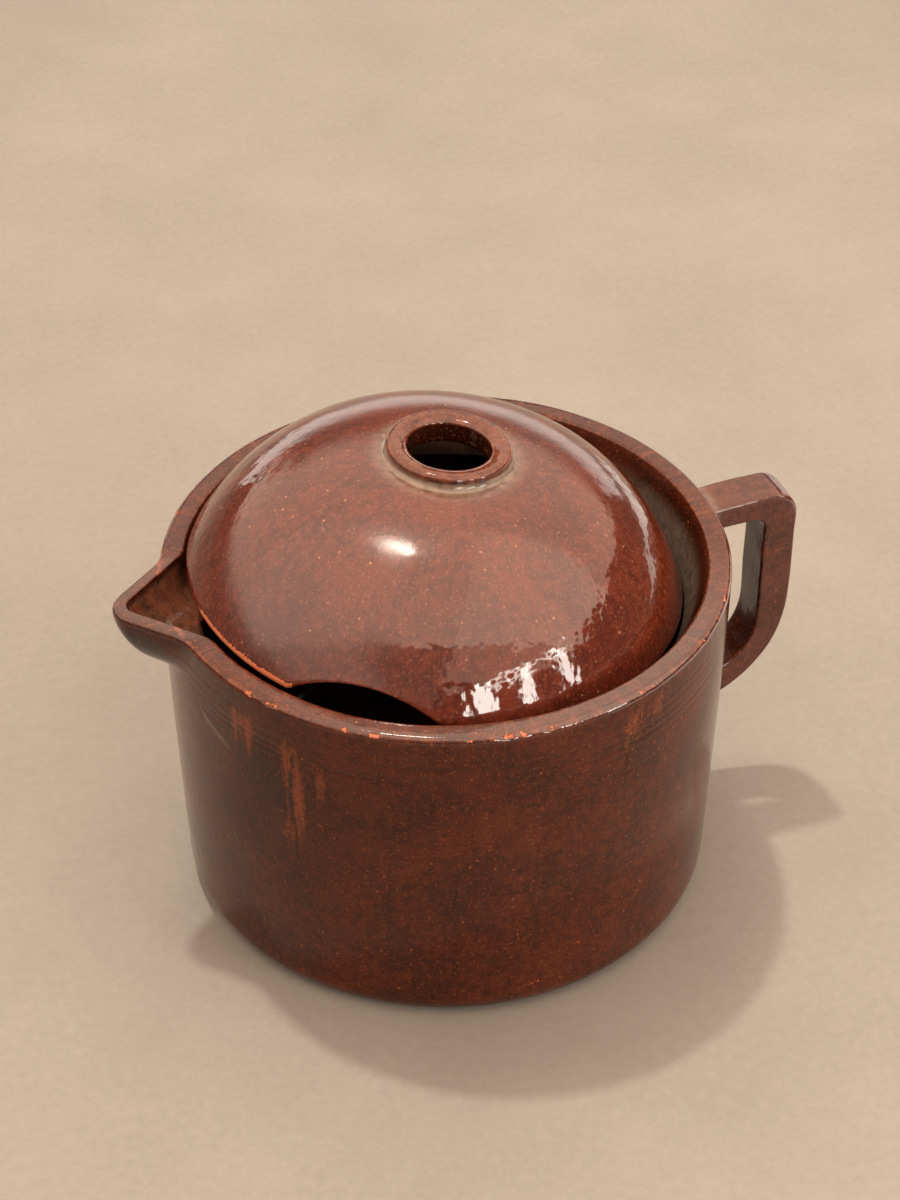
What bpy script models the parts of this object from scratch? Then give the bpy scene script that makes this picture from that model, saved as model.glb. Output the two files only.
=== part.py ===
"""Glazed earthenware milk boiler: a straight pot with a pouring spout, a strap handle and a loose holed lid.

The pot stands on Z = 0 with its axis on Z. The spout points along -X and the handle stands near +X.
Boiling milk rises through the hole in the domed lid and runs back through the scallops in its edge.
Units are metres.
"""

import math

import bmesh
import bpy
from mathutils import Vector
from mathutils.geometry import interpolate_bezier

# Pot
RIM_RADIUS = 0.105
WALL_FLARE = 0.0038
POT_HEIGHT = 0.139
WALL = 0.0065
FLOOR = 0.008
BASE_CORNER = 0.006
INNER_CORNER = 0.014
RIM_ROUND = 0.0016
BELLY = 1.5

# Funnel-shaped seat for the lid, inside the mouth
RIM_LAND = 0.0082
SEAT_TAPER = 0.45
SEAT_MARGIN = 0.002
SEAT_NOSE = 0.0015
SEAT_UNDERSIDE = 0.016

# Lid
LID_DEPTH = 0.0084
LID_TILT = math.radians(5.5)
LID_WALL = 0.005
DOME_HEIGHT = 0.0546
DOME_FULLNESS = 1.7
HOLE_RADIUS = 0.0155
EDGE_ROUND = 0.0012

# Scallops in the lid's edge, cut by eye at uneven steps round it
SCALLOP_WIDTH = 0.0575
SCALLOP_DEPTH = 0.0118
SCALLOP_START = math.radians(18)
SCALLOP_STEP = math.radians(110)
SCALLOP_COUNT = 3

# Collar round the lid's hole
COLLAR_WIDTH = 0.0073
COLLAR_HEIGHT = 0.0056
COLLAR_ROUND = 0.0015
COLLAR_CHAMFER = 0.0022

# Pouring spout
SPOUT_HALF_WIDTH = 0.0247
SPOUT_REACH = 0.0189
SPOUT_NOSE = 0.0073
SPOUT_DEPTH = 0.0265
SPOUT_WALL = 0.0042
SPOUT_FLOOR = 0.005
SPOUT_LIP_ROUND = 0.001
SPOUT_KEEL = 1.4
SPOUT_BOWL = 2.0

# Strap handle
HANDLE_TURN = math.radians(4.3)
HANDLE_WIDTH = 0.0170
HANDLE_TOP_DROP = 0.0036
HANDLE_RISE = 0.0026
HANDLE_REACH = 0.0350
HANDLE_ARM = 0.0082
HANDLE_GRIP = 0.0134
HANDLE_CORNER = 0.0075
HANDLE_INNER_CORNER = 0.0035
HANDLE_SHOULDER = 0.0450
HANDLE_LENGTH = 0.0966
HANDLE_FOOT = 0.0136
HANDLE_EDGE_ROUND = 0.0020

# Pulls that shape the handle's lower bend, outside at the heel and inside at the palm
HEEL_DROP = 0.0270
HEEL_RUN = 0.0175
HEEL_CLIMB = 0.0066
PALM_HEIGHT = 0.0230
PALM_DROP = 0.0160
PALM_RUN = 0.0120
PALM_CLIMB = 0.0035

# Fits: clay pieces that touch keep a hair's gap
JOINT_GAP = 0.0003
SEAT_GAP = 0.0003

# Fineness of the round shapes, and how far cutters run past what they cut
TURN_STEPS = 72
ARC_STEPS = 4
DOME_STEPS = 11
WALL_STEPS = 5
CURVE_STEPS = 8
LOFT_STEPS = 8
CUT_PAST = 0.010
MERGE = 0.00001

PARTS = "milk_boiler"
CUTTERS = "cutters"

# The pot's base and the mouth of the seat follow the rim.
BASE_RADIUS = RIM_RADIUS - WALL_FLARE
SEAT_RADIUS = RIM_RADIUS - RIM_LAND

# Seat and lid edge: the lid is a circle lying askew in the funnel, high on the spout side. Its tilt needs
# a shift towards the raised side, and a little room across, so that it touches the funnel at front and back.
TILT_SIN = math.sin(LID_TILT)
LID_CROSS = math.cos(LID_TILT) + 0.5 * TILT_SIN ** 2 * (1 + SEAT_TAPER ** 2)
LID_RADIUS = (SEAT_RADIUS - SEAT_TAPER * LID_DEPTH - SEAT_GAP) / LID_CROSS
LID_SHIFT = SEAT_TAPER * LID_RADIUS * TILT_SIN
SEAT_DEPTH = LID_DEPTH + LID_RADIUS * TILT_SIN + SEAT_MARGIN
COLLAR_RADIUS = HOLE_RADIUS + COLLAR_WIDTH


def clear_scene():
    """Remove whatever the scene holds."""
    for old in list(bpy.data.objects):
        bpy.data.objects.remove(old, do_unlink=True)


def new_collection(name):
    """A collection of the scene, made if it is missing."""
    collection = bpy.data.collections.get(name)
    if collection is None:
        collection = bpy.data.collections.new(name)
        bpy.context.scene.collection.children.link(collection)
    return collection


def add_object(name, data, collection):
    """Link an object that holds the given data."""
    made = bpy.data.objects.new(name, data)
    bpy.data.collections[collection].objects.link(made)
    return made


def glaze(name, colour, roughness):
    """A glossy glaze of one linear colour."""
    material = bpy.data.materials.new(name)
    material.use_nodes = True
    shader = material.node_tree.nodes["Principled BSDF"]
    shader.inputs["Base Color"].default_value = (*colour, 1.0)
    shader.inputs["Roughness"].default_value = roughness
    shader.inputs["Metallic"].default_value = 0.0
    return material


def arc(centre, radius, start, end, steps=ARC_STEPS):
    """Points of an arc in the profile plane, angles in degrees from the outward direction."""
    points = []
    for i in range(steps + 1):
        angle = math.radians(start + (end - start) * i / steps)
        points.append((centre[0] + radius * math.cos(angle), centre[1] + radius * math.sin(angle)))
    return points


def bezier(first, first_pull, last_pull, last):
    """Points of a smooth curve between two points of the profile plane."""
    knots = [Vector((x, y, 0.0)) for x, y in (first, first_pull, last_pull, last)]
    return [(p.x, p.y) for p in interpolate_bezier(*knots, CURVE_STEPS + 1)]


def turned(name, profile, closed, collection):
    """A profile of radius and height turned round Z; it runs down its outer side."""
    mesh = bpy.data.meshes.new(name)
    edges = [(i, i + 1) for i in range(len(profile) - 1)]
    if closed:
        edges.append((len(profile) - 1, 0))
    mesh.from_pydata([(radius, 0.0, height) for radius, height in profile], edges, [])
    made = add_object(name, mesh, collection)
    screw = made.modifiers.new("Turn", "SCREW")
    screw.axis = "Z"
    screw.steps = TURN_STEPS
    screw.render_steps = TURN_STEPS
    screw.use_merge_vertices = True
    screw.merge_threshold = MERGE
    screw.use_smooth_shade = True
    return made


def cut(piece, cutter):
    """Take a cutter's shape out of a piece."""
    boolean = piece.modifiers.new("Cut " + cutter.name, "BOOLEAN")
    boolean.operation = "DIFFERENCE"
    boolean.object = cutter


def as_cutter(cutter):
    """Show a cutter as wires only."""
    cutter.hide_render = True
    cutter.display_type = "WIRE"
    return cutter


def finish(piece, material, parent=None):
    """Give a piece its glaze, its parent and smooth shading with crisp edges."""
    piece.data.materials.append(material)
    piece.parent = parent
    if piece.data.polygons:
        piece.data.shade_smooth()
        piece.data.set_sharp_from_angle(angle=math.radians(40))
    return piece


def outer_radius(height):
    """Outer radius of the pot's wall: narrowest at the base, nearly straight towards the rim."""
    share = min(max(height / POT_HEIGHT, 0.0), 1.0)
    return BASE_RADIUS + (RIM_RADIUS - BASE_RADIUS) * (1 - (1 - share) ** BELLY)


def outer_wall(top, bottom, grow=0.0):
    """Points down the pot's outer side between two heights."""
    points = []
    for i in range(WALL_STEPS + 1):
        height = top + (bottom - top) * i / WALL_STEPS
        points.append((outer_radius(height) + grow, height))
    return points


def inner_wall(bottom, top):
    """Points up the pot's inner side between two heights."""
    return [(radius - WALL, height) for radius, height in reversed(outer_wall(top, bottom))]


def pot_profile():
    """The pot's section, from the middle of its floor over the rim to the middle of its base."""
    nose_height = POT_HEIGHT - SEAT_DEPTH
    nose_radius = SEAT_RADIUS - SEAT_TAPER * SEAT_DEPTH
    wall_top = nose_height - SEAT_UNDERSIDE
    seat_angle = math.degrees(math.atan(SEAT_TAPER))
    slope = math.hypot(1.0, SEAT_TAPER)
    floor_edge = outer_radius(FLOOR + INNER_CORNER) - WALL - INNER_CORNER
    profile = [(0.0, FLOOR)]
    profile += arc((floor_edge, FLOOR + INNER_CORNER), INNER_CORNER, -90, 0)
    profile += inner_wall(FLOOR + INNER_CORNER, wall_top)[1:]
    profile += arc((nose_radius + SEAT_NOSE * slope, nose_height), SEAT_NOSE, 225, 180 - seat_angle)
    rim_inner = SEAT_RADIUS + RIM_ROUND * (slope - SEAT_TAPER)
    profile += arc((rim_inner, POT_HEIGHT - RIM_ROUND), RIM_ROUND, 180 - seat_angle, 90)
    profile += arc((RIM_RADIUS - RIM_ROUND, POT_HEIGHT - RIM_ROUND), RIM_ROUND, 90, 0)
    profile += outer_wall(POT_HEIGHT - RIM_ROUND, BASE_CORNER)[1:]
    base_edge = outer_radius(BASE_CORNER) - BASE_CORNER
    profile += arc((base_edge, BASE_CORNER), BASE_CORNER, 0, -90)[1:]
    profile.append((0.0, 0.0))
    return profile


def wall_cutter():
    """The pot's outer form, a hair larger, to trim what is luted to the wall."""
    top = POT_HEIGHT + CUT_PAST
    profile = [(0.0, top), (RIM_RADIUS + JOINT_GAP, top)]
    profile += outer_wall(POT_HEIGHT, 0.0, JOINT_GAP)
    profile.append((0.0, 0.0))
    return as_cutter(turned("wall_cutter", profile, False, CUTTERS))


def spout_side():
    """Where the spout leaves the rim, its nose centre, and the slant of its straight sides."""
    root = math.sqrt(RIM_RADIUS ** 2 - SPOUT_HALF_WIDTH ** 2)
    nose = RIM_RADIUS + SPOUT_REACH - SPOUT_NOSE
    span = math.hypot(nose - root, SPOUT_HALF_WIDTH)
    slant = math.atan2(SPOUT_HALF_WIDTH, nose - root) - math.asin(SPOUT_NOSE / span)
    return root, nose, slant


def spout_plan(back, root, half_width, nose, nose_radius, slant):
    """The spout seen from above, as distance out and to the side, from one side round the nose."""
    plan = [(back, half_width), (root, half_width)]
    turn = 90 - math.degrees(slant)
    plan += arc((nose, 0.0), nose_radius, turn, -turn, 2 * ARC_STEPS)
    plan += [(root, -half_width), (back, -half_width)]
    return plan


def spout_loft(name, plan, root, depth, lip, rise, collection):
    """Stack ever smaller plans from a rise over the rim down to the keel, and skin them.

    The plan shrinks to the wall along a blunt keel and across a round bowl. At the lip it grows by lip.
    """
    length = max(out for out, side in plan) - root
    half_width = max(side for out, side in plan)
    levels = [(rise, 0.0, lip), (0.0, 0.0, lip), (-SPOUT_LIP_ROUND, SPOUT_LIP_ROUND / depth, 0.0)]
    for i in range(1, LOFT_STEPS + 1):
        share = math.sin(0.5 * math.pi * i / (LOFT_STEPS + 0.5))
        levels.append((-share * depth, share, 0.0))
    shape = bmesh.new()
    rings = []
    for height, share, grow in levels:
        keel = (1 - share ** SPOUT_KEEL) ** (1 / SPOUT_KEEL) + grow / length
        bowl = (1 - share ** SPOUT_BOWL) ** (1 / SPOUT_BOWL) + grow / half_width
        ring = []
        for out, side in plan:
            ahead = root + (out - root) * keel if out > root else out
            ring.append(shape.verts.new((-ahead, side * bowl, POT_HEIGHT + height)))
        rings.append(ring)
    for upper, lower in zip(rings, rings[1:]):
        for i in range(len(upper)):
            j = (i + 1) % len(upper)
            shape.faces.new((upper[i], upper[j], lower[j], lower[i]))
    shape.faces.new(reversed(rings[0]))
    shape.faces.new(rings[-1])
    bmesh.ops.remove_doubles(shape, verts=shape.verts, dist=MERGE)
    bmesh.ops.recalc_face_normals(shape, faces=shape.faces)
    mesh = bpy.data.meshes.new(name)
    shape.to_mesh(mesh)
    shape.free()
    return add_object(name, mesh, collection)


def channel_cutter():
    """The pouring channel: it runs through the pot's wall and out along the spout."""
    root, nose, slant = spout_side()
    inner_root = root - SPOUT_WALL / math.sin(slant)
    back = SEAT_RADIUS - SEAT_TAPER * SEAT_DEPTH - CUT_PAST
    plan = spout_plan(back, inner_root, SPOUT_HALF_WIDTH, nose, SPOUT_NOSE - SPOUT_WALL, slant)
    depth = SPOUT_DEPTH - SPOUT_FLOOR
    return as_cutter(spout_loft("channel_cutter", plan, inner_root, depth, SPOUT_LIP_ROUND, CUT_PAST, CUTTERS))


def make_pot(channel):
    """The thrown pot, with its mouth cut open behind the spout."""
    pot = turned("pot_body", pot_profile(), False, PARTS)
    cut(pot, channel)
    return finish(pot, glaze("brown_glaze_pot", (0.095, 0.030, 0.017), 0.18))


def make_spout(trim, channel):
    """The pouring spout: a pinched lip with a blunt keel, luted to the wall and open into the pot."""
    root, nose, slant = spout_side()
    plan = spout_plan(root - CUT_PAST, root, SPOUT_HALF_WIDTH, nose, SPOUT_NOSE, slant)
    spout = spout_loft("pouring_spout", plan, root, SPOUT_DEPTH, -SPOUT_LIP_ROUND, 0.0, PARTS)
    cut(spout, channel)
    cut(spout, trim)
    return finish(spout, glaze("brown_glaze_spout", (0.105, 0.033, 0.019), 0.18))


def handle_outline():
    """Side outline of the handle as radius and height: an upper arm, an upright grip and a curved foot."""
    wall = RIM_RADIUS
    into = wall - CUT_PAST
    face = wall + HANDLE_REACH
    rise = HANDLE_RISE / HANDLE_REACH
    top = POT_HEIGHT - HANDLE_TOP_DROP
    shoulder = POT_HEIGHT - HANDLE_SHOULDER
    bottom = POT_HEIGHT - HANDLE_LENGTH
    inner_face = face - HANDLE_GRIP
    corner_top = top + HANDLE_RISE
    outline = [(into, top - rise * CUT_PAST)]
    outline += arc((face - HANDLE_CORNER, corner_top - HANDLE_CORNER), HANDLE_CORNER, 90, 0)
    outline += bezier((face, shoulder), (face, shoulder - HEEL_DROP), (wall + HEEL_RUN, bottom + HEEL_CLIMB),
                      (wall, bottom))
    outline.append((into, bottom))
    foot = bottom + HANDLE_FOOT
    palm = foot + PALM_HEIGHT
    outline.append((into, foot))
    outline += bezier((wall, foot), (wall + PALM_RUN, foot + PALM_CLIMB), (inner_face, palm - PALM_DROP),
                      (inner_face, palm))
    under = top - HANDLE_ARM
    outline += arc((inner_face - HANDLE_INNER_CORNER, under - HANDLE_INNER_CORNER), HANDLE_INNER_CORNER, 0, 90)
    outline.append((into, under))
    return outline


def make_handle(trim):
    """The strap handle: a flat outline of even width with rounded edges, luted to the wall."""
    curve = bpy.data.curves.new("strap_handle_outline", "CURVE")
    curve.dimensions = "2D"
    curve.fill_mode = "BOTH"
    curve.extrude = 0.5 * HANDLE_WIDTH - HANDLE_EDGE_ROUND
    curve.bevel_depth = HANDLE_EDGE_ROUND
    curve.bevel_resolution = 2
    curve.offset = -HANDLE_EDGE_ROUND
    outline = handle_outline()
    spline = curve.splines.new("POLY")
    spline.points.add(len(outline) - 1)
    for point, (radius, height) in zip(spline.points, outline):
        point.co = (radius, height, 0.0, 1.0)
    spline.use_cyclic_u = True
    flat = add_object("strap_handle_outline", curve, PARTS)
    flat.rotation_euler = (0.5 * math.pi, 0.0, HANDLE_TURN)
    bpy.context.view_layer.update()
    evaluated = flat.evaluated_get(bpy.context.evaluated_depsgraph_get())
    mesh = bpy.data.meshes.new_from_object(evaluated)
    handle = add_object("strap_handle", mesh, PARTS)
    handle.matrix_world = flat.matrix_world.copy()
    bpy.data.objects.remove(flat, do_unlink=True)
    welded = bmesh.new()
    welded.from_mesh(mesh)
    bmesh.ops.remove_doubles(welded, verts=welded.verts, dist=MERGE)
    bmesh.ops.recalc_face_normals(welded, faces=welded.faces)
    welded.to_mesh(mesh)
    welded.free()
    mesh.materials.clear()
    cut(handle, trim)
    return finish(handle, glaze("brown_glaze_handle", (0.075, 0.030, 0.022), 0.22))


def dome_height(radius, shell):
    """Height of the dome over the lid's edge, on its outer face or a shell's depth below it."""
    share = min(radius / (LID_RADIUS - shell), 1.0)
    return (DOME_HEIGHT - shell) * math.sqrt(1 - share ** DOME_FULLNESS)


def dome_curve(shell):
    """Points down the dome from the hole to just over its edge."""
    span = LID_RADIUS - shell
    first = math.asin((HOLE_RADIUS / span) ** (0.5 * DOME_FULLNESS))
    last = math.acos(EDGE_ROUND / (DOME_HEIGHT - shell))
    points = []
    for i in range(DOME_STEPS + 1):
        angle = first + (last - first) * i / DOME_STEPS
        radius = span * math.sin(angle) ** (2 / DOME_FULLNESS)
        points.append((radius, (DOME_HEIGHT - shell) * math.cos(angle)))
    return points


def make_dome(seat):
    """The thrown dome with its hole, scalloped at the edge by round cutters."""
    profile = dome_curve(0.0)
    profile += arc((LID_RADIUS - EDGE_ROUND, EDGE_ROUND), EDGE_ROUND, 0, -90)[1:]
    profile += arc((LID_RADIUS - LID_WALL + EDGE_ROUND, EDGE_ROUND), EDGE_ROUND, 270, 180)[:-1]
    profile += reversed(dome_curve(LID_WALL))
    dome = turned("lid_dome", profile, True, PARTS)
    round_radius = (0.25 * SCALLOP_WIDTH ** 2 + SCALLOP_DEPTH ** 2) / (2 * SCALLOP_DEPTH)
    for i in range(SCALLOP_COUNT):
        angle = SCALLOP_START + i * SCALLOP_STEP
        scallop = bpy.data.meshes.new(f"scallop_cutter_{i + 1}")
        shape = bmesh.new()
        bmesh.ops.create_cone(shape, cap_ends=True, segments=TURN_STEPS, radius1=round_radius,
                              radius2=round_radius, depth=LID_RADIUS)
        shape.to_mesh(scallop)
        shape.free()
        cutter = as_cutter(add_object(scallop.name, scallop, CUTTERS))
        cutter.parent = seat
        cutter.location = (LID_RADIUS * math.cos(angle), LID_RADIUS * math.sin(angle),
                           SCALLOP_DEPTH - round_radius)
        cutter.rotation_euler = (0.0, 0.5 * math.pi, angle)
        cut(dome, cutter)
    return finish(dome, glaze("brown_glaze_lid", (0.165, 0.055, 0.032), 0.16), seat)


def make_collar(seat):
    """The low flat ring luted round the hole, hollowed below to sit on the dome."""
    top = dome_height(COLLAR_RADIUS, 0.0) + COLLAR_HEIGHT
    profile = arc((COLLAR_RADIUS - COLLAR_ROUND, top - COLLAR_ROUND), COLLAR_ROUND, 90, 0)
    for i in range(ARC_STEPS + 1):
        radius = COLLAR_RADIUS - COLLAR_WIDTH * i / ARC_STEPS
        profile.append((radius, dome_height(radius, 0.0) + JOINT_GAP))
    profile.append((HOLE_RADIUS, top - COLLAR_CHAMFER))
    profile.append((HOLE_RADIUS + 0.5 * COLLAR_CHAMFER, top))
    collar = turned("lid_collar", profile, True, PARTS)
    return finish(collar, glaze("brown_glaze_collar", (0.120, 0.040, 0.025), 0.18), seat)


def main():
    """Build the pot and its luted pieces, then the lid on its seat."""
    clear_scene()
    new_collection(PARTS)
    new_collection(CUTTERS)
    trim = wall_cutter()
    channel = channel_cutter()
    make_pot(channel)
    make_spout(trim, channel)
    make_handle(trim)
    seat = add_object("lid_seat", None, PARTS)
    seat.location = (-LID_SHIFT, 0.0, POT_HEIGHT - LID_DEPTH)
    seat.rotation_euler = (0.0, LID_TILT, 0.0)
    make_dome(seat)
    make_collar(seat)


main()
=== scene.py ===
"""Looks of the earthenware milk boiler: its solids dressed as hand-thrown, glossy brown-glazed clay.

The pot and its spout were one piece by the time they were glazed, so one thrown mesh stands for both. The strap
handle, the scalloped lid and the collar round its hole are pieces of their own. Units are metres.
"""

import math

import bpy
import numpy as np
from bpy.props import FloatProperty, FloatVectorProperty, PointerProperty
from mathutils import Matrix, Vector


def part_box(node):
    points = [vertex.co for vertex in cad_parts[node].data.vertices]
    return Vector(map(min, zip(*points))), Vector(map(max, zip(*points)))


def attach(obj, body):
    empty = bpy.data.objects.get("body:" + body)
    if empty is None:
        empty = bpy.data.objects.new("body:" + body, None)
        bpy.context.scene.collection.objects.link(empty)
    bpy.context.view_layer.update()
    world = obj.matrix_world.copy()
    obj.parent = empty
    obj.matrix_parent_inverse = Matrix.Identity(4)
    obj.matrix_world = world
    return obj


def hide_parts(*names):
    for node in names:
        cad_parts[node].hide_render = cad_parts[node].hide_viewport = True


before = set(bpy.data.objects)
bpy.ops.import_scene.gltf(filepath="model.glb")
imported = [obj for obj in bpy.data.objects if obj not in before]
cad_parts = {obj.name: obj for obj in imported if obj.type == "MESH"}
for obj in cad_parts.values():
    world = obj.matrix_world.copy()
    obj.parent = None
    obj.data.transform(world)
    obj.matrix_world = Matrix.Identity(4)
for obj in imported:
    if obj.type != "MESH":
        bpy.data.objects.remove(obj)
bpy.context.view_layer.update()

bl_info = {
    "name": "Glazed milk boiler",
    "version": (1, 0, 0),
    "blender": (4, 5, 0),
    "location": "View3D > Sidebar > Boiler",
    "description": "Dresses the milk boiler's solids as glazed earthenware and sets them on a stage",
    "category": "Add Mesh",
}

# Pot: rim and height come from the frame, the rest follows the solid, with softer corners
RIM_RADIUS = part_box("pot_body")[1].y
POT_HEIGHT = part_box("pot_body")[1].z
WALL_FLARE = 0.0038
WALL_BELLY = 1.5
WALL = 0.0065
FLOOR = 0.008
BASE_CORNER = 0.009
INNER_CORNER = 0.014
RIM_LAND = 0.0082
RIM_INNER_ROUND = 0.0016
RIM_OUTER_ROUND = 0.0026
MOUTH_RADIUS = RIM_RADIUS - RIM_LAND

# Lid, lying askew in the seat, with a leaner dome and shallower scallops than the solid
LID_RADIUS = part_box("lid_dome")[1].y
LID_DEPTH = 0.0084
LID_TILT = math.radians(5.5)
LID_WALL = 0.005
DOME_HEIGHT = 0.0526
DOME_SPAN = 0.104
DOME_FULLNESS = 3.0
HOLE_RADIUS = 0.0155
LID_EDGE_ROUND = 0.0018
HOLE_EDGE_ROUND = 0.0003
SCALLOP_WIDTH = 0.0575
SCALLOP_DEPTH = 0.0097
SCALLOP_ANGLES = (18, 128, 238)
SCALLOP_FADE = 3.2

# Funnel-shaped seat inside the mouth, and how far the lid slides down it to the handle side
SEAT_TAPER = 0.45
SEAT_MARGIN = 0.002
SEAT_NOSE = 0.0022
SEAT_UNDERSIDE = 0.016
SEAT_DEPTH = LID_DEPTH + LID_RADIUS * math.sin(LID_TILT) + SEAT_MARGIN
SEAT_LEVEL = POT_HEIGHT - SEAT_DEPTH
LID_SHIFT = SEAT_TAPER * LID_RADIUS * math.sin(LID_TILT)

# Collar round the lid's hole
COLLAR_WIDTH = 0.0073
COLLAR_HEIGHT = 0.0053
COLLAR_OUTER_ROUND = 0.0021
COLLAR_BEVEL = 0.0030
COLLAR_BEVEL_DROP = 0.0022
COLLAR_LINING = 0.0002
COLLAR_SINK = 0.0004
COLLAR_UNDERCUT = 0.0004
COLLAR_COVE = 0.0028
COLLAR_COVE_DROP = 0.0009
COLLAR_DISH = 0.0002
COLLAR_BRIM = 0.0010
COLLAR_BATTER = 0.0004
COLLAR_RADIUS = HOLE_RADIUS + COLLAR_WIDTH

# Pits in the collar: angle in degrees, distance out from the hole, depth below the top and half length
COLLAR_PITS = (
    (164, 0.0020, 0.0006, 0.0022), (178, 0.0014, 0.0010, 0.0014), (206, 0.0022, 0.0004, 0.0018),
    (222, 0.0018, 0.0006, 0.0030), (236, 0.0026, 0.0003, 0.0012), (28, 0.0058, 0.0002, 0.0024),
    (40, 0.0052, 0.0002, 0.0014), (243, 0.0073, 0.0024, 0.0036), (262, 0.0073, 0.0022, 0.0042),
    (285, 0.0073, 0.0026, 0.0020), (118, 0.0022, 0.0005, 0.0016),
)
PIT_BREADTH = 0.0009

# Pouring spout
SPOUT_HALF_WIDTH = 0.0247
SPOUT_REACH = 0.0189
SPOUT_NOSE = 0.0105
SPOUT_DEPTH = 0.0265
SPOUT_WALL = 0.0053
SPOUT_FLOOR = 0.005
SPOUT_KEEL = 1.8
SPOUT_BOWL = 2.0
SPOUT_LUTING = 0.0035
SPOUT_CHANNEL_EASE = 0.0016
SPOUT_LEAST = 0.001
SPOUT_SPREAD = 0.6
SPOUT_FADE = (1.15 * SPOUT_DEPTH, 0.95 * SPOUT_DEPTH)

# Strap handle
HANDLE_TURN = math.radians(4.3)
HANDLE_WIDTH = 0.0170
HANDLE_TOP_DROP = 0.0022
HANDLE_RISE = 0.0012
HANDLE_REACH = 0.0350
HANDLE_ARM = 0.0096
HANDLE_GRIP = 0.0134
HANDLE_CORNER = 0.0105
HANDLE_INNER_CORNER = 0.0044
HANDLE_SHOULDER = 0.0450
HANDLE_LENGTH = 0.0966
HANDLE_FOOT = 0.0136
HANDLE_EDGE_ROUND = 0.0040
HANDLE_SINK = 0.0030
HEEL_DROP = 0.0315
HEEL_RUN = 0.0200
HEEL_CLIMB = 0.0066
PALM_HEIGHT = 0.0275
PALM_DROP = 0.0190
PALM_RUN = 0.0120
PALM_CLIMB = 0.0035

# Fineness of the meshes; the pot's steps crowd together towards the spout
POT_STEPS = 560
LID_STEPS = 560
COLLAR_STEPS = 240
STRAP_STEPS = 72
SEAT_ROWS = 18
LIP_ROWS = 54
WALL_ROWS = 32
DOME_ROWS = 62
HOLLOW_ROWS = 36
MERGE = 0.000005
CROWDING = 0.6
CREASE = math.radians(50)

# Breadth of the waves in hand-worked clay, and how much of them the pot takes between two heights near its base
POT_WAVES = 0.045
LID_WAVES = 0.040
COLLAR_WAVES = 0.014
STRAP_WAVES = 0.020
POT_WAVE_LEVELS = ((0.004, 0.010, 0.4), (0.010, 1.0, 1.0))

# Chips in the rim's glaze: angle round the rim in degrees from +X, length along it and depth in metres
RIM_CHIPS = (
    (-146.1, 0.0050, 0.0005), (-141.0, 0.0085, 0.0008), (-125.0, 0.0030, 0.0004), (-119.3, 0.0045, 0.0005),
    (-101.2, 0.0030, 0.0004), (-94.3, 0.0060, 0.0008), (-91.0, 0.0035, 0.0005), (-85.9, 0.0050, 0.0007),
    (-65.6, 0.0040, 0.0006), (-62.1, 0.0035, 0.0005), (150.2, 0.0040, 0.0006), (140.5, 0.0045, 0.0006),
    (-44.6, 0.0030, 0.0004), (-31.0, 0.0040, 0.0004), (62.0, 0.0040, 0.0005), (101.0, 0.0030, 0.0004),
)
CHIP_BREADTH = 0.0017
CHIP_BARE = 0.75
CHIP_BARE_REACH = (1.6, 0.3)
CHIP_SUNK_REACH = (1.1, 0.5)

# Thin glaze along the rim's outer and inner edge: strength and breadth
THIN_EDGE = (0.55, 0.0018)
THIN_MOUTH = (0.40, 0.0014)

# Runs where the glaze drew thin on the wall: angle in degrees, top and bottom height, width
THIN_RUNS = (
    (-136.5, 0.127, 0.060, 0.0064), (-131.5, 0.124, 0.090, 0.0036), (-148.0, 0.132, 0.104, 0.0110),
    (-62.0, 0.138, 0.112, 0.0075), (-67.0, 0.136, 0.110, 0.0050), (35.0, 0.130, 0.080, 0.0045),
    (92.0, 0.132, 0.096, 0.0060), (150.0, 0.126, 0.090, 0.0040),
)
RUN_STRENGTH = 0.53
RUN_SWAY = 0.0012
RUN_SWAY_LENGTH = 0.008

# Threads of thick glaze down the middle of the long runs: how many runs, their share of the width, and strength
THREADED_RUNS = 2
THREAD_WIDTH = 0.22
THREAD_STRENGTH = 0.75

# Fine throwing lines on the outer wall: height, breadth, phase of their waver and strength
THROWING_LINES = (
    (0.1184, 0.0008, 0.4, 1.00), (0.1207, 0.0007, 1.9, 0.80), (0.1245, 0.0009, 3.1, 0.65),
    (0.1142, 0.0008, 4.4, 0.55), (0.1290, 0.0008, 5.2, 0.50), (0.1052, 0.0010, 0.9, 0.35),
)
THROWING_DEPTH = 0.00028
# Darkness of the throwing lines: glaze pooled in them, and the shade of their grooves painted in
THROWING_POOL_AND_SHADE = 0.75
THROWING_FRONT = math.radians(-103.0)
THROWING_BEHIND = 0.25

# Cloud of thick glaze on the wall beside the long runs
CLOUD_ANGLE = math.radians(-141.0)
CLOUD_WIDTH = 0.030
CLOUD_HEIGHT = 0.098
CLOUD_TALL = 0.030
CLOUD_STRENGTH = 0.55

# Scuff smeared down the wall below the spout: angles in degrees along it, heights and half breadths
SCUFF = ((-162.2, 0.1136, 0.0009), (-160.2, 0.1104, 0.0019), (-157.4, 0.1090, 0.0012), (-153.8, 0.1066, 0.0015))
SCUFF_LIFT = 0.0026
SCUFF_DUST = 0.375
SCUFF_GOUGE = 0.8

# Where the pot's glaze changes, as pairs of where a change starts and where it is full: heights over the base,
# depths below the rim, the angle from the spout's middle, and how far the spout was drawn out of the wall
BASE_WIPED = (0.0012, 0.0002)
SEAT_BAND = (0.114, 0.119, 0.127, 0.134)
CHANNEL_RISE = (0.108, 0.116)
MOUTH_TOP = (0.0005, 0.0040)
LAND_TOP = (0.0012, 0.0004)
LIP_TOP = (0.0035, 0.0010)
WALL_TOP = (0.001, 0.008)
# Depths below the rim where the painted shade under the spout starts and is full
SPOUT_UNDER = (0.003, 0.008)
SPOUT_ANGLE = (0.30, 0.20)
# How far the spout was drawn out where the painted shade under it starts and is full
SPOUT_DRAWN = (0.002, 0.008)
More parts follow.
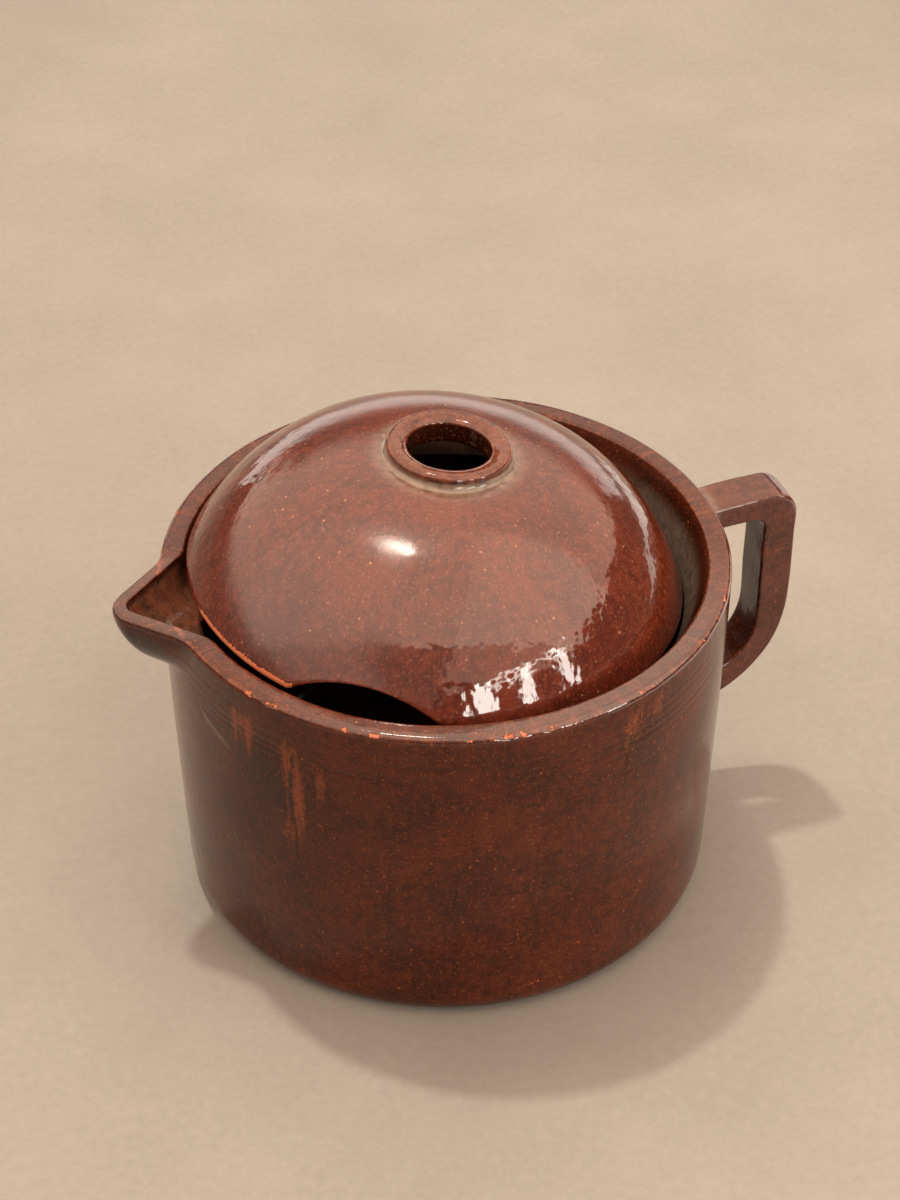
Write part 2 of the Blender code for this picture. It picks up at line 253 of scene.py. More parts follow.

# Strengths of thin, dusty, thick, glassy and satin glaze on the pot, and of the shade painted into the mouth and
# under the spout; a second value is what one side adds
LAND_THIN = 0.26
CHANNEL_THIN = 0.56
CHANNEL_DUST = 0.22
CHANNEL_GLASS = 0.8
SEAT_DUST = (0.22, 0.20)
# Painted shade inside the mouth, and what the handle side adds
MOUTH_SHADE = (0.38, 0.45)
# Painted shade under the spout
SPOUT_SHADE = 0.85
LIP_GLASS = (0.25, 0.75)
NOSE_GLASS = 0.7
WALL_SATIN = 0.55

# Where the rim's glaze is glassiest, and where the shade painted inside the mouth is darkest
GLASSY_ANGLE = math.radians(-80.0)
MOUTH_ANGLE = math.radians(-5.0)

# Wear of the strap, and the shade painted in its finger gap: distance from its edges, size of the worn patches, and
# strengths
STRAP_EDGE = (0.0030, 0.0004)
STRAP_EDGE_THIN = 0.42
STRAP_PATCH_THIN = 0.34
STRAP_SATIN = 0.4
# Painted shade in the finger gap
STRAP_GAP_SHADE = 0.85
STRAP_LUTING = (0.0040, 0.0005)
STRAP_LUTING_DUST = 0.4

# Where the lid's edge was wiped bare and where its glaze is smooth, as angles round the lid in degrees
BARE_EDGE = (186.0, 221.0)
SMOOTH_SIDE = (166.0, 250.0)

# Wear of the lid, and the shade painted in its hole: distances up from its edge and out from the collar, and
# strengths
LID_BARE = (0.9, 0.0044, 0.0020)
LID_THIN = (0.45, 0.0030, 0.0005)
LID_WIPED_THIN = (0.25, 0.0050, 0.0010)
LID_DUST = 0.62
LID_DUST_REACH = 0.0075
# Painted shade on the wall of the lid's hole
LID_HOLE_SHADE = 0.9
LID_SATIN = (0.80 * LID_RADIUS, 0.45 * LID_RADIUS)

# Wear of the collar: thin glaze on its brim and round its hole, painted shade in the hole, darker glaze in the
# pits, dust at its foot
COLLAR_THIN_BREADTH = 0.0014
COLLAR_BRIM_THIN = 0.60
COLLAR_HOLE_THIN = 0.35
# Painted shade down the hole, and the darker pits
COLLAR_POOL_AND_SHADE = 0.9
COLLAR_DUST = 0.85

# Camera as the photograph was taken: place, pitch below the horizon, heading from +Y to +X, focal length in mm
CAMERA_PLACE = (-0.2114, -0.7521, 0.7326)
CAMERA_PITCH = math.radians(38.261)
CAMERA_HEADING = math.radians(15.815)
CAMERA_LENS = 80.1

# How the floor is painted darker to both sides, a painted shade for the glaze to mirror: where it starts and ends,
# how much longer than wide the pale part is, and the share of its tone that is left
FADE_START = 0.28
FADE_END = 0.76
FADE_LENGTH = 3.0
FADE_LEFT = 0.35

# Level panels overhead, as the camera sees them: left and right end across, front and back end along, and share of
# the overhead brightness
LID_LEVEL = 0.16
OVERHEAD_LEVEL = 1.16
OVERHEAD_PANELS = (
    ("overhead_left", -6.0, 0.3, -1.17, 0.45, 1.05),
    ("overhead_right", 0.3, 3.1, -1.17, 0.45, 1.3),
    ("overhead_back_left", -6.0, 0.3, 0.45, 2.0, 0.85),
    ("overhead_back_right", 0.3, 3.1, 0.45, 2.8, 0.80),
    ("overhead_front_left", -5.0, -0.82, -3.6, -1.17, 0.6),
    ("overhead_front_right", 0.3, 2.6, -2.3, -1.17, 0.6),
    ("overhead_front", -0.82, 0.3, -3.6, -1.17, 0.2),
    ("overhead_far_left", -6.0, -1.3, 2.0, 2.9, 0.85),
    ("overhead_farther_left", -6.0, -2.2, 2.9, 5.0, 0.85),
)

# Round lamps: azimuth and elevation in degrees, distance, width, share of the lamp brightness, and whether the
# gloss mirrors it
LAMPS = (
    ("lamp_in_the_gloss", -32, 79.0, 2.5, 0.30, 0.20, True),
    ("lamp_for_the_shadow", -36, 73.0, 6.0, 0.28, 7.3, False),
)

# Panes at the side: azimuth and elevation in degrees, width, height, share of the pane brightness, and whether the
# gloss mirrors it
PANES = (
    ("side_pane_left", 157.0, 12.0, 0.27, 0.58, 0.80, True),
    ("side_pane_middle", 137.0, 12.0, 0.18, 0.58, 0.80, True),
    ("side_pane_right", 118.0, 12.0, 0.24, 0.58, 0.70, True),
    ("side_lintel", 137.5, 20.5, 1.36, 0.05, 0.55, True),
    ("side_fill", 126.0, 12.0, 0.40, 0.58, 1.30, False),
)
PANE_DISTANCE = 2.0

# Low panel behind, the card that lies on the floor to the right, and the colours of the lights
BACK_DISTANCE = 2.2
BACK_LENGTH = 3.0
BACK_HEIGHT = 0.5
CARD = (0.31, 1.15, -0.25, 0.95)
CARD_LEVEL = 0.002
FLOOR_SIZE = 8.0
WARM_LIGHT = (1.0, 0.75, 0.58)
LAMP_LIGHT = (1.0, 0.94, 0.80)
DAYLIGHT = (1.0, 0.93, 0.84)


def linear(code):
    """Linear light of an sRGB hex value."""
    parts = [int(code[i:i + 2], 16) / 255 for i in (1, 3, 5)]
    return [v / 12.92 if v <= 0.04045 else ((v + 0.055) / 1.055) ** 2.4 for v in parts]


def shade(title, words, code):
    """A colour property whose default is an sRGB hex value."""
    return FloatVectorProperty(name=title, description=words, default=linear(code), subtype="COLOR", size=3,
                               min=0.0, max=1.0)


class BoilerSizes(bpy.types.PropertyGroup):
    """Sizes of the hand-made unevenness and wear."""

    pot_wobble: FloatProperty(name="Pot wobble", description="How far the thrown wall strays from true",
                              default=0.0005, unit="LENGTH")
    lid_wobble: FloatProperty(name="Lid wobble", description="How far the thrown dome strays from true",
                              default=0.0005, unit="LENGTH")
    strap_wobble: FloatProperty(name="Strap wobble", description="How far the pulled strap strays from true",
                                default=0.0007, unit="LENGTH")
    peel_width: FloatProperty(name="Glaze ripple width", description="Breadth of the ripples in the fired glaze",
                              default=0.0085, unit="LENGTH")


class BoilerGlazes(bpy.types.PropertyGroup):
    """Colours of glaze, clay and floor, in linear light."""

    wall_brown: shade("Wall brown", "Full glaze on the pot's wall", "#321208")
    wall_warm: shade("Wall warm brown", "Lighter clouds in the wall's glaze", "#491d0c")
    lid_brown: shade("Lid brown", "Full glaze on the lid", "#40140a")
    lid_warm: shade("Lid warm brown", "Lighter clouds in the lid's glaze", "#572113")
    collar_brown: shade("Collar brown", "Full glaze on the collar", "#461e12")
    collar_warm: shade("Collar warm brown", "Lighter clouds in the collar's glaze", "#5e2f1e")
    strap_brown: shade("Strap brown", "Full glaze on the handle", "#361710")
    strap_warm: shade("Strap warm brown", "Lighter clouds in the handle's glaze", "#4f281c")
    # Pooled glaze, and also the colour of the shade painted into the mouth, the holes, the finger gap and under the
    # spout
    pooled: shade("Pooled glaze", "Brush lines and hollows where the glaze lies thick", "#220b05")
    thin: shade("Thin glaze", "Clay glowing through thin glaze", "#74371b")
    clay: shade("Bare clay", "Red earthenware where the glaze is gone", "#a85731")
    speck: shade("Specks", "Iron specks that fired pale orange on the lid", "#9e6b49")
    wall_speck: shade("Wall specks", "Iron specks that fired orange on the wall", "#8f4a25")
    dust: shade("Dust", "Grey dust and lime in the corners", "#84796c")
    floor: shade("Floor", "The pale floor", "#7f7a73")


class BoilerStage(bpy.types.PropertyGroup):
    """Strength of the lights."""

    overhead: FloatProperty(name="Overhead", description="Brightness of the wide overhead panels", default=2.0)
    lamp: FloatProperty(name="Lamps", description="Brightness of the round lamps", default=190.0)
    pane: FloatProperty(name="Side panes", description="Brightness of the panes at the side", default=15.0)
    back: FloatProperty(name="Back panel", description="Brightness of the low panel behind", default=1.8)
    card: FloatProperty(name="Bounce card", description="Brightness of the card on the right", default=1.2)
    surround: FloatProperty(name="Surround", description="Brightness of the studio beyond the panels",
                            default=0.20)


def arc(centre, radius, start, end, steps):
    """Points of an arc in the section, angles in degrees from the outward direction."""
    turn = np.radians(np.linspace(start, end, steps + 1))
    return [(centre[0] + radius * math.cos(a), centre[1] + radius * math.sin(a)) for a in turn]


def line(first, last, steps):
    """Points of a straight stretch of the section, both ends included."""
    return [tuple(p) for p in np.linspace(first, last, steps + 1)]


def curve(first, first_pull, last_pull, last, steps):
    """Points of a smooth curve between two points."""
    t = np.linspace(0, 1, steps + 1)[:, None]
    a, b, c, d = (np.array(p) for p in (first, first_pull, last_pull, last))
    return (1 - t) ** 3 * a + 3 * (1 - t) ** 2 * t * b + 3 * (1 - t) * t ** 2 * c + t ** 3 * d


def ramp(value, low, high):
    """0 below low, 1 above high and smooth between."""
    share = np.clip((value - low) / (high - low), 0, 1)
    return share * share * (3 - 2 * share)


def band(value, start, full, ending, gone):
    """0 up to start and from gone on, 1 between full and ending, and smooth between."""
    return ramp(value, start, full) * ramp(value, gone, ending)


def fall_off(distance, breadth):
    """1 at no distance, falling off as a bell of a breadth."""
    return np.exp(-(distance / breadth) ** 2)


def most(*layers):
    """The strongest of several layers at each point."""
    return np.maximum.reduce(layers)


def soft_max(a, b, ease):
    """The larger of two, with the crease between them filled to a round of about ease."""
    share = np.clip(0.5 + 0.5 * (a - b) / ease, 0, 1)
    return b + (a - b) * share + ease * share * (1 - share)


def angle_from(angle, middle):
    """Signed angle from a middle angle, within half a turn."""
    return (angle - middle + math.pi) % (2 * math.pi) - math.pi


def points_of(piece):
    """The piece's vertices as rows of x, y and z."""
    flat = np.empty(3 * len(piece.data.vertices))
    piece.data.vertices.foreach_get("co", flat)
    return flat.reshape(-1, 3)


def polar(points):
    """Each point's angle and radius about Z."""
    return np.arctan2(points[:, 1], points[:, 0]), np.hypot(points[:, 0], points[:, 1])


def put_points(piece, points):
    """Move the piece's vertices."""
    piece.data.vertices.foreach_set("co", np.ascontiguousarray(points, dtype=np.float32).ravel())
    piece.data.update()


def paint(piece, name, values):
    """Keep a value for each vertex, for the glaze to read."""
    layer = piece.data.attributes.new(name, "FLOAT", "POINT")
    layer.data.foreach_set("value", np.ascontiguousarray(np.clip(values, 0, 1), dtype=np.float32))


def turn(name, section, steps):
    """Draw a section by extruding one vertex from point to point, and turn it about Z into a thrown form."""
    bpy.ops.object.select_all(action="DESELECT")
    bpy.ops.mesh.primitive_plane_add(size=MERGE)
    piece = bpy.context.object
    piece.name = name
    piece.data.name = name
    bpy.ops.object.mode_set(mode="EDIT")
    bpy.ops.mesh.select_all(action="SELECT")
    bpy.ops.mesh.merge(type="CENTER")
    bpy.ops.transform.translate(value=(section[0][0], 0.0, section[0][1]))
    for here, there in zip(section, section[1:]):
        step = (there[0] - here[0], 0.0, there[1] - here[1])
        bpy.ops.mesh.extrude_vertices_move(TRANSFORM_OT_translate={"value": step})
    bpy.ops.object.mode_set(mode="OBJECT")
    screw = piece.modifiers.new("Turning", "SCREW")
    screw.steps = steps
    screw.render_steps = steps
    screw.use_merge_vertices = True
    screw.merge_threshold = MERGE
    apply_modifiers(piece)
    bpy.ops.object.mode_set(mode="EDIT")
    bpy.ops.mesh.select_all(action="SELECT")
    bpy.ops.mesh.remove_doubles(threshold=MERGE)
    bpy.ops.mesh.normals_make_consistent(inside=False)
    bpy.ops.object.mode_set(mode="OBJECT")
    return piece


def apply_modifiers(piece):
    """Apply every modifier of the piece, in order."""
    bpy.ops.object.select_all(action="DESELECT")
    piece.select_set(True)
    bpy.context.view_layer.objects.active = piece
    for modifier in list(piece.modifiers):
        bpy.ops.object.modifier_apply(modifier=modifier.name)


def make_uneven(piece, strength, size, group=""):
    """Let the surface stray from true, as hand-worked clay does."""
    clouds = bpy.data.textures.new(piece.name + "_unevenness", "CLOUDS")
    clouds.noise_scale = size
    clouds.noise_depth = 1
    displace = piece.modifiers.new("Unevenness", "DISPLACE")
    displace.texture = clouds
    displace.texture_coords = "LOCAL"
    displace.strength = strength
    displace.mid_level = 0.5
    displace.vertex_group = group
    apply_modifiers(piece)


def dress(piece, body, nodes, slot):
    """Shade the piece smooth, give it its glaze and let it stand for its solids."""
    bpy.ops.object.select_all(action="DESELECT")
    piece.select_set(True)
    bpy.context.view_layer.objects.active = piece
    bpy.ops.object.shade_smooth_by_angle(angle=CREASE)
    piece.data.materials.clear()
    piece.data.materials.append(fired_glaze(bpy.context.scene, **FINISHES[slot]))
    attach(piece, body)
    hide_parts(*nodes)


def outer_radius(height):
    """Outer radius of the pot's wall: narrowest at the base, nearly straight towards the rim."""
    share = np.clip(height / POT_HEIGHT, 0, 1)
    return RIM_RADIUS - WALL_FLARE * (1 - share) ** WALL_BELLY


def wall_middle(height):
    """Radius of the middle of the pot's wall."""
    return outer_radius(height) - 0.5 * WALL


def seat_radius(height):
    """Radius inside the mouth: the funnel, its nose and underside, then the inner wall."""
    inner = outer_radius(height) - WALL
    funnel = MOUTH_RADIUS - SEAT_TAPER * (POT_HEIGHT - height)
    jut = MOUTH_RADIUS - SEAT_TAPER * SEAT_DEPTH - inner
    under = inner + jut * np.clip((height - SEAT_LEVEL) / SEAT_UNDERSIDE + 1, 0, 1)
    return np.where(height > SEAT_LEVEL, funnel, under)


def pot_section():
    """The pot's section, from the middle of its floor over the rim to the middle of its base."""
    seat_angle = math.degrees(math.atan(SEAT_TAPER))
    slope = math.hypot(1.0, SEAT_TAPER)
    wall_foot = FLOOR + INNER_CORNER
    floor_edge = float(outer_radius(wall_foot)) - WALL - INNER_CORNER
    section = line((0.0, FLOOR), (floor_edge, FLOOR), 4)[:-1]
    section += arc((floor_edge, wall_foot), INNER_CORNER, -90, 0, 7)
    for height in np.linspace(wall_foot, SEAT_LEVEL - SEAT_UNDERSIDE, 9)[1:]:
        section.append((float(outer_radius(height)) - WALL, float(height)))
    nose = (MOUTH_RADIUS - SEAT_TAPER * SEAT_DEPTH + SEAT_NOSE * slope, SEAT_LEVEL)
    nose_arc = arc(nose, SEAT_NOSE, 225, 180 - seat_angle, 5)
    section += line(section[-1], nose_arc[0], 5)[1:-1] + nose_arc
    inner_edge = (MOUTH_RADIUS + RIM_INNER_ROUND * (slope - SEAT_TAPER), POT_HEIGHT - RIM_INNER_ROUND)
    inner_arc = arc(inner_edge, RIM_INNER_ROUND, 180 - seat_angle, 90, 6)
    section += line(section[-1], inner_arc[0], SEAT_ROWS)[1:-1] + inner_arc
    outer_edge = (RIM_RADIUS - RIM_OUTER_ROUND, POT_HEIGHT - RIM_OUTER_ROUND)
    outer_arc = arc(outer_edge, RIM_OUTER_ROUND, 90, 0, 7)
    section += line(inner_arc[-1], outer_arc[0], 5)[1:-1] + outer_arc
    lip_foot = POT_HEIGHT - 1.5 * SPOUT_DEPTH
    heights = np.concatenate([np.linspace(POT_HEIGHT - RIM_OUTER_ROUND, lip_foot, LIP_ROWS)[1:],
                              np.linspace(lip_foot, BASE_CORNER, WALL_ROWS)[1:]])
    section += [(float(outer_radius(z)), float(z)) for z in heights]
    base_edge = float(outer_radius(BASE_CORNER)) - BASE_CORNER
    section += arc((base_edge, BASE_CORNER), BASE_CORNER, 0, -90, 7)[1:]
    section += line((base_edge, 0.0), (0.0, 0.0), 4)[1:]
    return section


def spout_outline(turn_angle, depth, full_depth, inset):
    """Radius of the spout at an angle from its middle and a depth below the rim, or 0 below its keel.

    The plan is a V with a round nose. It shrinks to the wall along a blunt keel and across a round bowl.
    """
    root = math.sqrt(RIM_RADIUS ** 2 - SPOUT_HALF_WIDTH ** 2)
    nose = RIM_RADIUS + SPOUT_REACH - SPOUT_NOSE
    span = math.hypot(nose - root, SPOUT_HALF_WIDTH)
    slant = math.atan2(SPOUT_HALF_WIDTH, nose - root) - math.asin(SPOUT_NOSE / span)
    root -= inset / math.sin(slant)
    nose_round = SPOUT_NOSE - inset
    share = np.clip(depth / full_depth, 0, 1)
    keel, bowl = (np.maximum((1 - share ** fullness) ** (1 / fullness), SPOUT_LEAST)
                  for fullness in (SPOUT_KEEL, SPOUT_BOWL))
    away = np.abs(turn_angle)
    pitch = math.tan(slant) * bowl / keel
    side = (SPOUT_HALF_WIDTH * bowl + root * pitch) / (np.sin(away) + np.cos(away) * pitch)
    middle = root + (nose - root) * keel
    along, across = nose_round * keel, nose_round * bowl
    square = (np.cos(away) / along) ** 2 + (np.sin(away) / across) ** 2
    half = middle * np.cos(away) / along ** 2
    inside = np.maximum(half ** 2 - square * ((middle / along) ** 2 - 1), 0)
    round_end = (half + np.sqrt(inside)) / square
    touch = np.arctan2(across * math.cos(slant), middle + along * math.sin(slant))
    return np.where(depth < full_depth, np.where(away < touch, round_end, side), 0.0)


def pull_spout(points):
    """Draw the wall and the rim out into the spout, and its channel with them."""
    angle, radius = polar(points)
    away = angle_from(angle, math.pi)
    angle = math.pi + away - CROWDING * np.sin(away)
    away = angle_from(angle, math.pi)
    height = points[:, 2]
    depth = POT_HEIGHT - height
    near = (np.abs(away) < SPOUT_SPREAD) & (depth < SPOUT_FADE[0]) & (radius > 0.5 * RIM_RADIUS)
    inner = seat_radius(height[near])
    outer = outer_radius(height[near])
    share = (radius[near] - inner) / (outer - inner)
    lip = spout_outline(away[near], depth[near], SPOUT_DEPTH, 0.0)
    channel = spout_outline(away[near], depth[near], SPOUT_DEPTH - SPOUT_FLOOR, SPOUT_WALL)
    fade = ramp(depth[near], *SPOUT_FADE)
    pulled = outer + (soft_max(lip, outer, SPOUT_LUTING) - outer) * fade
    opened = inner + (soft_max(channel, inner, SPOUT_CHANNEL_EASE) - inner) * fade
    radius[near] = opened + share * (pulled - opened)
    return np.column_stack([radius * np.cos(angle), radius * np.sin(angle), height])


def chip_rim(points):
    """Knock the chips out of the rim's outer edge; returns the points and how bare each is."""
    angle, radius = polar(points)
    off_edge = np.hypot(radius - RIM_RADIUS, points[:, 2] - POT_HEIGHT)
    bare = np.zeros(len(points))
    sunk = np.zeros(len(points))
    for place, length, depth in RIM_CHIPS:
        along = angle_from(angle, math.radians(place)) * RIM_RADIUS
        reach = np.hypot(along / (0.5 * length), off_edge / CHIP_BREADTH)
        bare = np.maximum(bare, CHIP_BARE * ramp(reach, *CHIP_BARE_REACH))
        sunk = np.maximum(sunk, depth * ramp(reach, *CHIP_SUNK_REACH))
    inward = np.column_stack([-np.cos(angle), -np.sin(angle), -np.ones(len(points))]) / math.sqrt(2)
    return points + inward * sunk[:, None], bare


def thin_wall(points):
    """How thin the glaze lies on the pot: along the rim's edges and in the runs down the wall."""
    angle, radius = polar(points)
    height = points[:, 2]
    outside = radius > wall_middle(height)
    off_edge = np.hypot(radius - RIM_RADIUS, height - POT_HEIGHT)
    off_mouth = np.hypot(radius - MOUTH_RADIUS, height - POT_HEIGHT)
    thin = np.maximum(THIN_EDGE[0] * fall_off(off_edge, THIN_EDGE[1]),
                      THIN_MOUTH[0] * fall_off(off_mouth, THIN_MOUTH[1]))
    for place, top, bottom, width in THIN_RUNS:
        sway = RUN_SWAY * np.sin(height / RUN_SWAY_LENGTH + place)
        along = angle_from(angle, math.radians(place)) * RIM_RADIUS - sway
        within = band(height, bottom - 0.008, bottom + 0.022, top - 0.010, top + 0.006)
        thin = np.maximum(thin, RUN_STRENGTH * outside * within * fall_off(along, width))
    return thin


def throwing_lines(points):
    """How deep the fine throwing lines below the rim are at each point, as a share of the deepest."""
    angle = polar(points)[0]
    depth = np.zeros(len(points))
    for height, breadth, sway, strength in THROWING_LINES:
        level = height + 0.0006 * np.sin(angle + sway) + 0.0003 * np.sin(3 * angle + 2 * sway)
        broken = 0.6 + 0.4 * np.sin(4 * angle + sway) * np.sin(9 * angle - 2 * sway)
        depth = np.maximum(depth, strength * broken * fall_off(points[:, 2] - level, breadth))
    front = ramp(np.cos(angle - THROWING_FRONT), 0.2, 0.85)
    return depth * (THROWING_BEHIND + (1 - THROWING_BEHIND) * front)


def off_scuff(points, lift):
    """How far each point of the wall is from the scuff's middle, raised by lift, in half breadths."""
    angle = polar(points)[0]
    nearest = np.full(len(points), np.inf)
    for (first, low, slim), (second, high, broad) in zip(SCUFF, SCUFF[1:]):
        along = angle_from(angle, math.radians(first)) * RIM_RADIUS
        up = points[:, 2] - low - lift
        run, rise = math.radians(second - first) * RIM_RADIUS, high - low
        share = np.clip((along * run + up * rise) / (run * run + rise * rise), 0.0, 1.0)
        breadth = slim + share * (broad - slim)
        nearest = np.minimum(nearest, np.hypot(along - share * run, up - share * rise) / breadth)
    return nearest


def pooled_wall(points):
    """How thick the glaze lies on the outer wall: a cloud on the spout side and threads down the long runs."""
    angle = polar(points)[0]
    height = points[:, 2]
    off_cloud = np.hypot(angle_from(angle, CLOUD_ANGLE) * RIM_RADIUS / CLOUD_WIDTH,
                         (height - CLOUD_HEIGHT) / CLOUD_TALL)
    thick = CLOUD_STRENGTH * fall_off(off_cloud, 1.0)
    for place, top, bottom, width in THIN_RUNS[:THREADED_RUNS]:
        sway = 0.0007 * np.sin(height / 0.009) + 0.0002 * np.sin(height / 0.0031)
        along = angle_from(angle, math.radians(place)) * RIM_RADIUS - sway
        within = band(height, bottom, bottom + 0.012, top - 0.010, top)
        thick = np.maximum(thick, THREAD_STRENGTH * within * fall_off(along, THREAD_WIDTH * width))
    return thick


def wear_pot(pot, radius, drawn, grooved):
    """Chip the rim, and paint where the pot's glaze is thin, pooled, dusty, glassy, satin or gone, and paint shade
    into the mouth, the throwing lines and under the spout.

    For each point, radius is its own as it was thrown, drawn is how far the spout pulled it out, and grooved how
    deep the throwing lines are there.
    """
    points, chipped = chip_rim(points_of(pot))
    put_points(pot, points)
    angle = polar(points)[0]
    height = points[:, 2]
    depth = POT_HEIGHT - height
    outside = radius > wall_middle(height)
    inside = (radius < wall_middle(height)) & (height > FLOOR - 0.001)
    below_rim = ramp(depth, *MOUTH_TOP)
    nose = ramp(np.abs(angle_from(angle, math.pi)), *SPOUT_ANGLE)
    in_spout = nose * ramp(height, *CHANNEL_RISE) * below_rim
    channel = in_spout * inside
    handle_side = ramp(np.cos(angle - MOUTH_ANGLE), 0.75, 0.97)
    front = ramp(np.cos(angle - GLASSY_ANGLE), 0.3, 0.9)
    scuffed = (radius > 0.95 * RIM_RADIUS) * ramp(off_scuff(points, 0.0), 1.7, 0.2)
    gouged = ramp(off_scuff(points, SCUFF_LIFT), 1.2, 0.3)
    seat = inside * band(height, *SEAT_BAND) * (SEAT_DUST[0] + SEAT_DUST[1] * handle_side)
    pooled = pooled_wall(points)
    # Painted shade inside the mouth, darkest on the handle side, none in the spout
    mouth = inside * below_rim * (1 - in_spout) * (MOUTH_SHADE[0] + MOUTH_SHADE[1] * handle_side)
    # Painted shade under the spout, where it was drawn out of the wall
    shaded = outside * ramp(drawn, *SPOUT_DRAWN) * ramp(depth, *SPOUT_UNDER)
    lip = ramp(depth, *LIP_TOP) * np.maximum(LIP_GLASS[0] + LIP_GLASS[1] * front, NOSE_GLASS * nose)
    thin = thin_wall(points) * ramp(pooled, 0.95, 0.55)
    paint(pot, "bare_clay", np.maximum(chipped, ramp(height, *BASE_WIPED)))
    paint(pot, "dusty", most(SCUFF_DUST * scuffed, seat, CHANNEL_DUST * channel))
    paint(pot, "thin_glaze", most(thin, LAND_THIN * ramp(depth, *LAND_TOP), CHANNEL_THIN * channel))
    # The dark layer: painted shade in the mouth, pooled glaze and painted shade in the throwing lines, the gouge,
    # the cloud and threads, and painted shade under the spout
    paint(pot, "pooled_glaze_and_shade", most(mouth, THROWING_POOL_AND_SHADE * grooved, SCUFF_GOUGE * outside * gouged, outside * pooled,
                                  SPOUT_SHADE * shaded))
    paint(pot, "glassy", np.maximum(lip, CHANNEL_GLASS * channel))
    paint(pot, "satin", WALL_SATIN * ramp(depth, *WALL_TOP))


class BOILER_OT_throw_pot(bpy.types.Operator):
    """Throw the pot, pull its spout and wear its rim"""

    bl_idname = "boiler.throw_pot"
    bl_label = "Throw pot and spout"

    def execute(self, context):
        pot = turn("glazed_pot", pot_section(), POT_STEPS)
        thrown = points_of(pot)
        height = thrown[:, 2]
        radius = polar(thrown)[1]
        pulled = pull_spout(thrown)
        reach = polar(pulled)[1]
        grooved = throwing_lines(pulled) * (radius > wall_middle(height))
        inward = 1 - THROWING_DEPTH * grooved / np.maximum(reach, MERGE)
        put_points(pot, pulled * np.column_stack([inward, inward, np.ones(len(inward))]))
        upper = pot.vertex_groups.new(name="uneven")
        for low, high, weight in POT_WAVE_LEVELS:
            chosen = np.flatnonzero((height >= low) & (height < high))
            upper.add(chosen.tolist(), weight, "REPLACE")
        make_uneven(pot, context.scene.boiler_sizes.pot_wobble, POT_WAVES, "uneven")
        wear_pot(pot, radius, reach - radius, grooved)
        dress(pot, "pot", ("pot_body", "pouring_spout"), "pot_glaze")
        return {"FINISHED"}


def handle_sides(steps):
    """Matching points along the strap's outer and inner side, as radius and height, from arm to foot."""
    wall = RIM_RADIUS
    face = wall + HANDLE_REACH
    top = POT_HEIGHT - HANDLE_TOP_DROP
    crown = top + HANDLE_RISE
    bottom = POT_HEIGHT - HANDLE_LENGTH
    foot = bottom + HANDLE_FOOT
    inner_face = face - HANDLE_GRIP
    under = top - HANDLE_ARM
    palm = foot + PALM_HEIGHT
    shoulder = POT_HEIGHT - HANDLE_SHOULDER
    into = wall - HANDLE_SINK
    rise = HANDLE_RISE / HANDLE_REACH
    outer = [(into, top - rise * HANDLE_SINK)]
    outer += arc((face - HANDLE_CORNER, crown - HANDLE_CORNER), HANDLE_CORNER, 90, 0, 12)
    outer += list(curve((face, shoulder), (face, shoulder - HEEL_DROP), (wall + HEEL_RUN, bottom + HEEL_CLIMB),
                        (wall, bottom), 24))
    outer.append((into, bottom - 0.2 * HANDLE_SINK))
    inner = [(into, under)]
    inner_corner = (inner_face - HANDLE_INNER_CORNER, under - HANDLE_INNER_CORNER)
    inner += arc(inner_corner, HANDLE_INNER_CORNER, 90, 0, 12)
    inner += list(curve((inner_face, palm), (inner_face, palm - PALM_DROP), (wall + PALM_RUN, foot + PALM_CLIMB),
                        (wall, foot), 24))
    inner.append((into, foot - 0.2 * HANDLE_SINK))
    sides = []
    for side in (outer, inner):
        side = np.array(side, float)
        run = np.concatenate([[0], np.cumsum(np.hypot(*np.diff(side, axis=0).T))])
        even = np.linspace(0, run[-1], steps + 1)
        sides.append(np.column_stack([np.interp(even, run, column) for column in side.T]))
    return sides


def wear_strap(strap):
    """Paint where the strap's glaze is rubbed thin, satin, and dusty at the luting, and paint shade into the finger
    gap.
    """
    points = points_of(strap)
    height = points[:, 2]
    normals = np.empty(points.size)
    strap.data.vertices.foreach_get("normal", normals)
    normals = normals.reshape(-1, 3)
    cos, sin = math.cos(HANDLE_TURN), math.sin(HANDLE_TURN)
    across = points[:, 1] * cos - points[:, 0] * sin
    sideways = normals @ np.array([-sin, cos, 0.0])
    edge = ramp(0.5 * HANDLE_WIDTH - np.abs(across), *STRAP_EDGE) * ramp(np.abs(sideways), 0.98, 0.6)
    patches = np.sin(height / 0.0052 + across / 0.006) * np.sin(across / 0.0047 - height / 0.0103 + 0.8)
    into_gap = normals @ np.array([-0.8 * cos, -0.8 * sin, 0.6])
    arm = POT_HEIGHT - HANDLE_TOP_DROP - HANDLE_ARM
    # Painted shade on the inner faces below the upper arm, in the finger gap
    gap = ramp(into_gap, 0.3, 0.7) * ramp(height, arm + 0.002, arm - 0.004)
    luting = ramp(polar(points)[1] - RIM_RADIUS, *STRAP_LUTING)
    paint(strap, "thin_glaze", np.maximum(STRAP_EDGE_THIN * edge, STRAP_PATCH_THIN * ramp(patches, 0.1, 0.8)))
    paint(strap, "satin", np.full(len(points), STRAP_SATIN))
    paint(strap, "pooled_glaze_and_shade", STRAP_GAP_SHADE * gap)
    paint(strap, "dusty", STRAP_LUTING_DUST * luting)


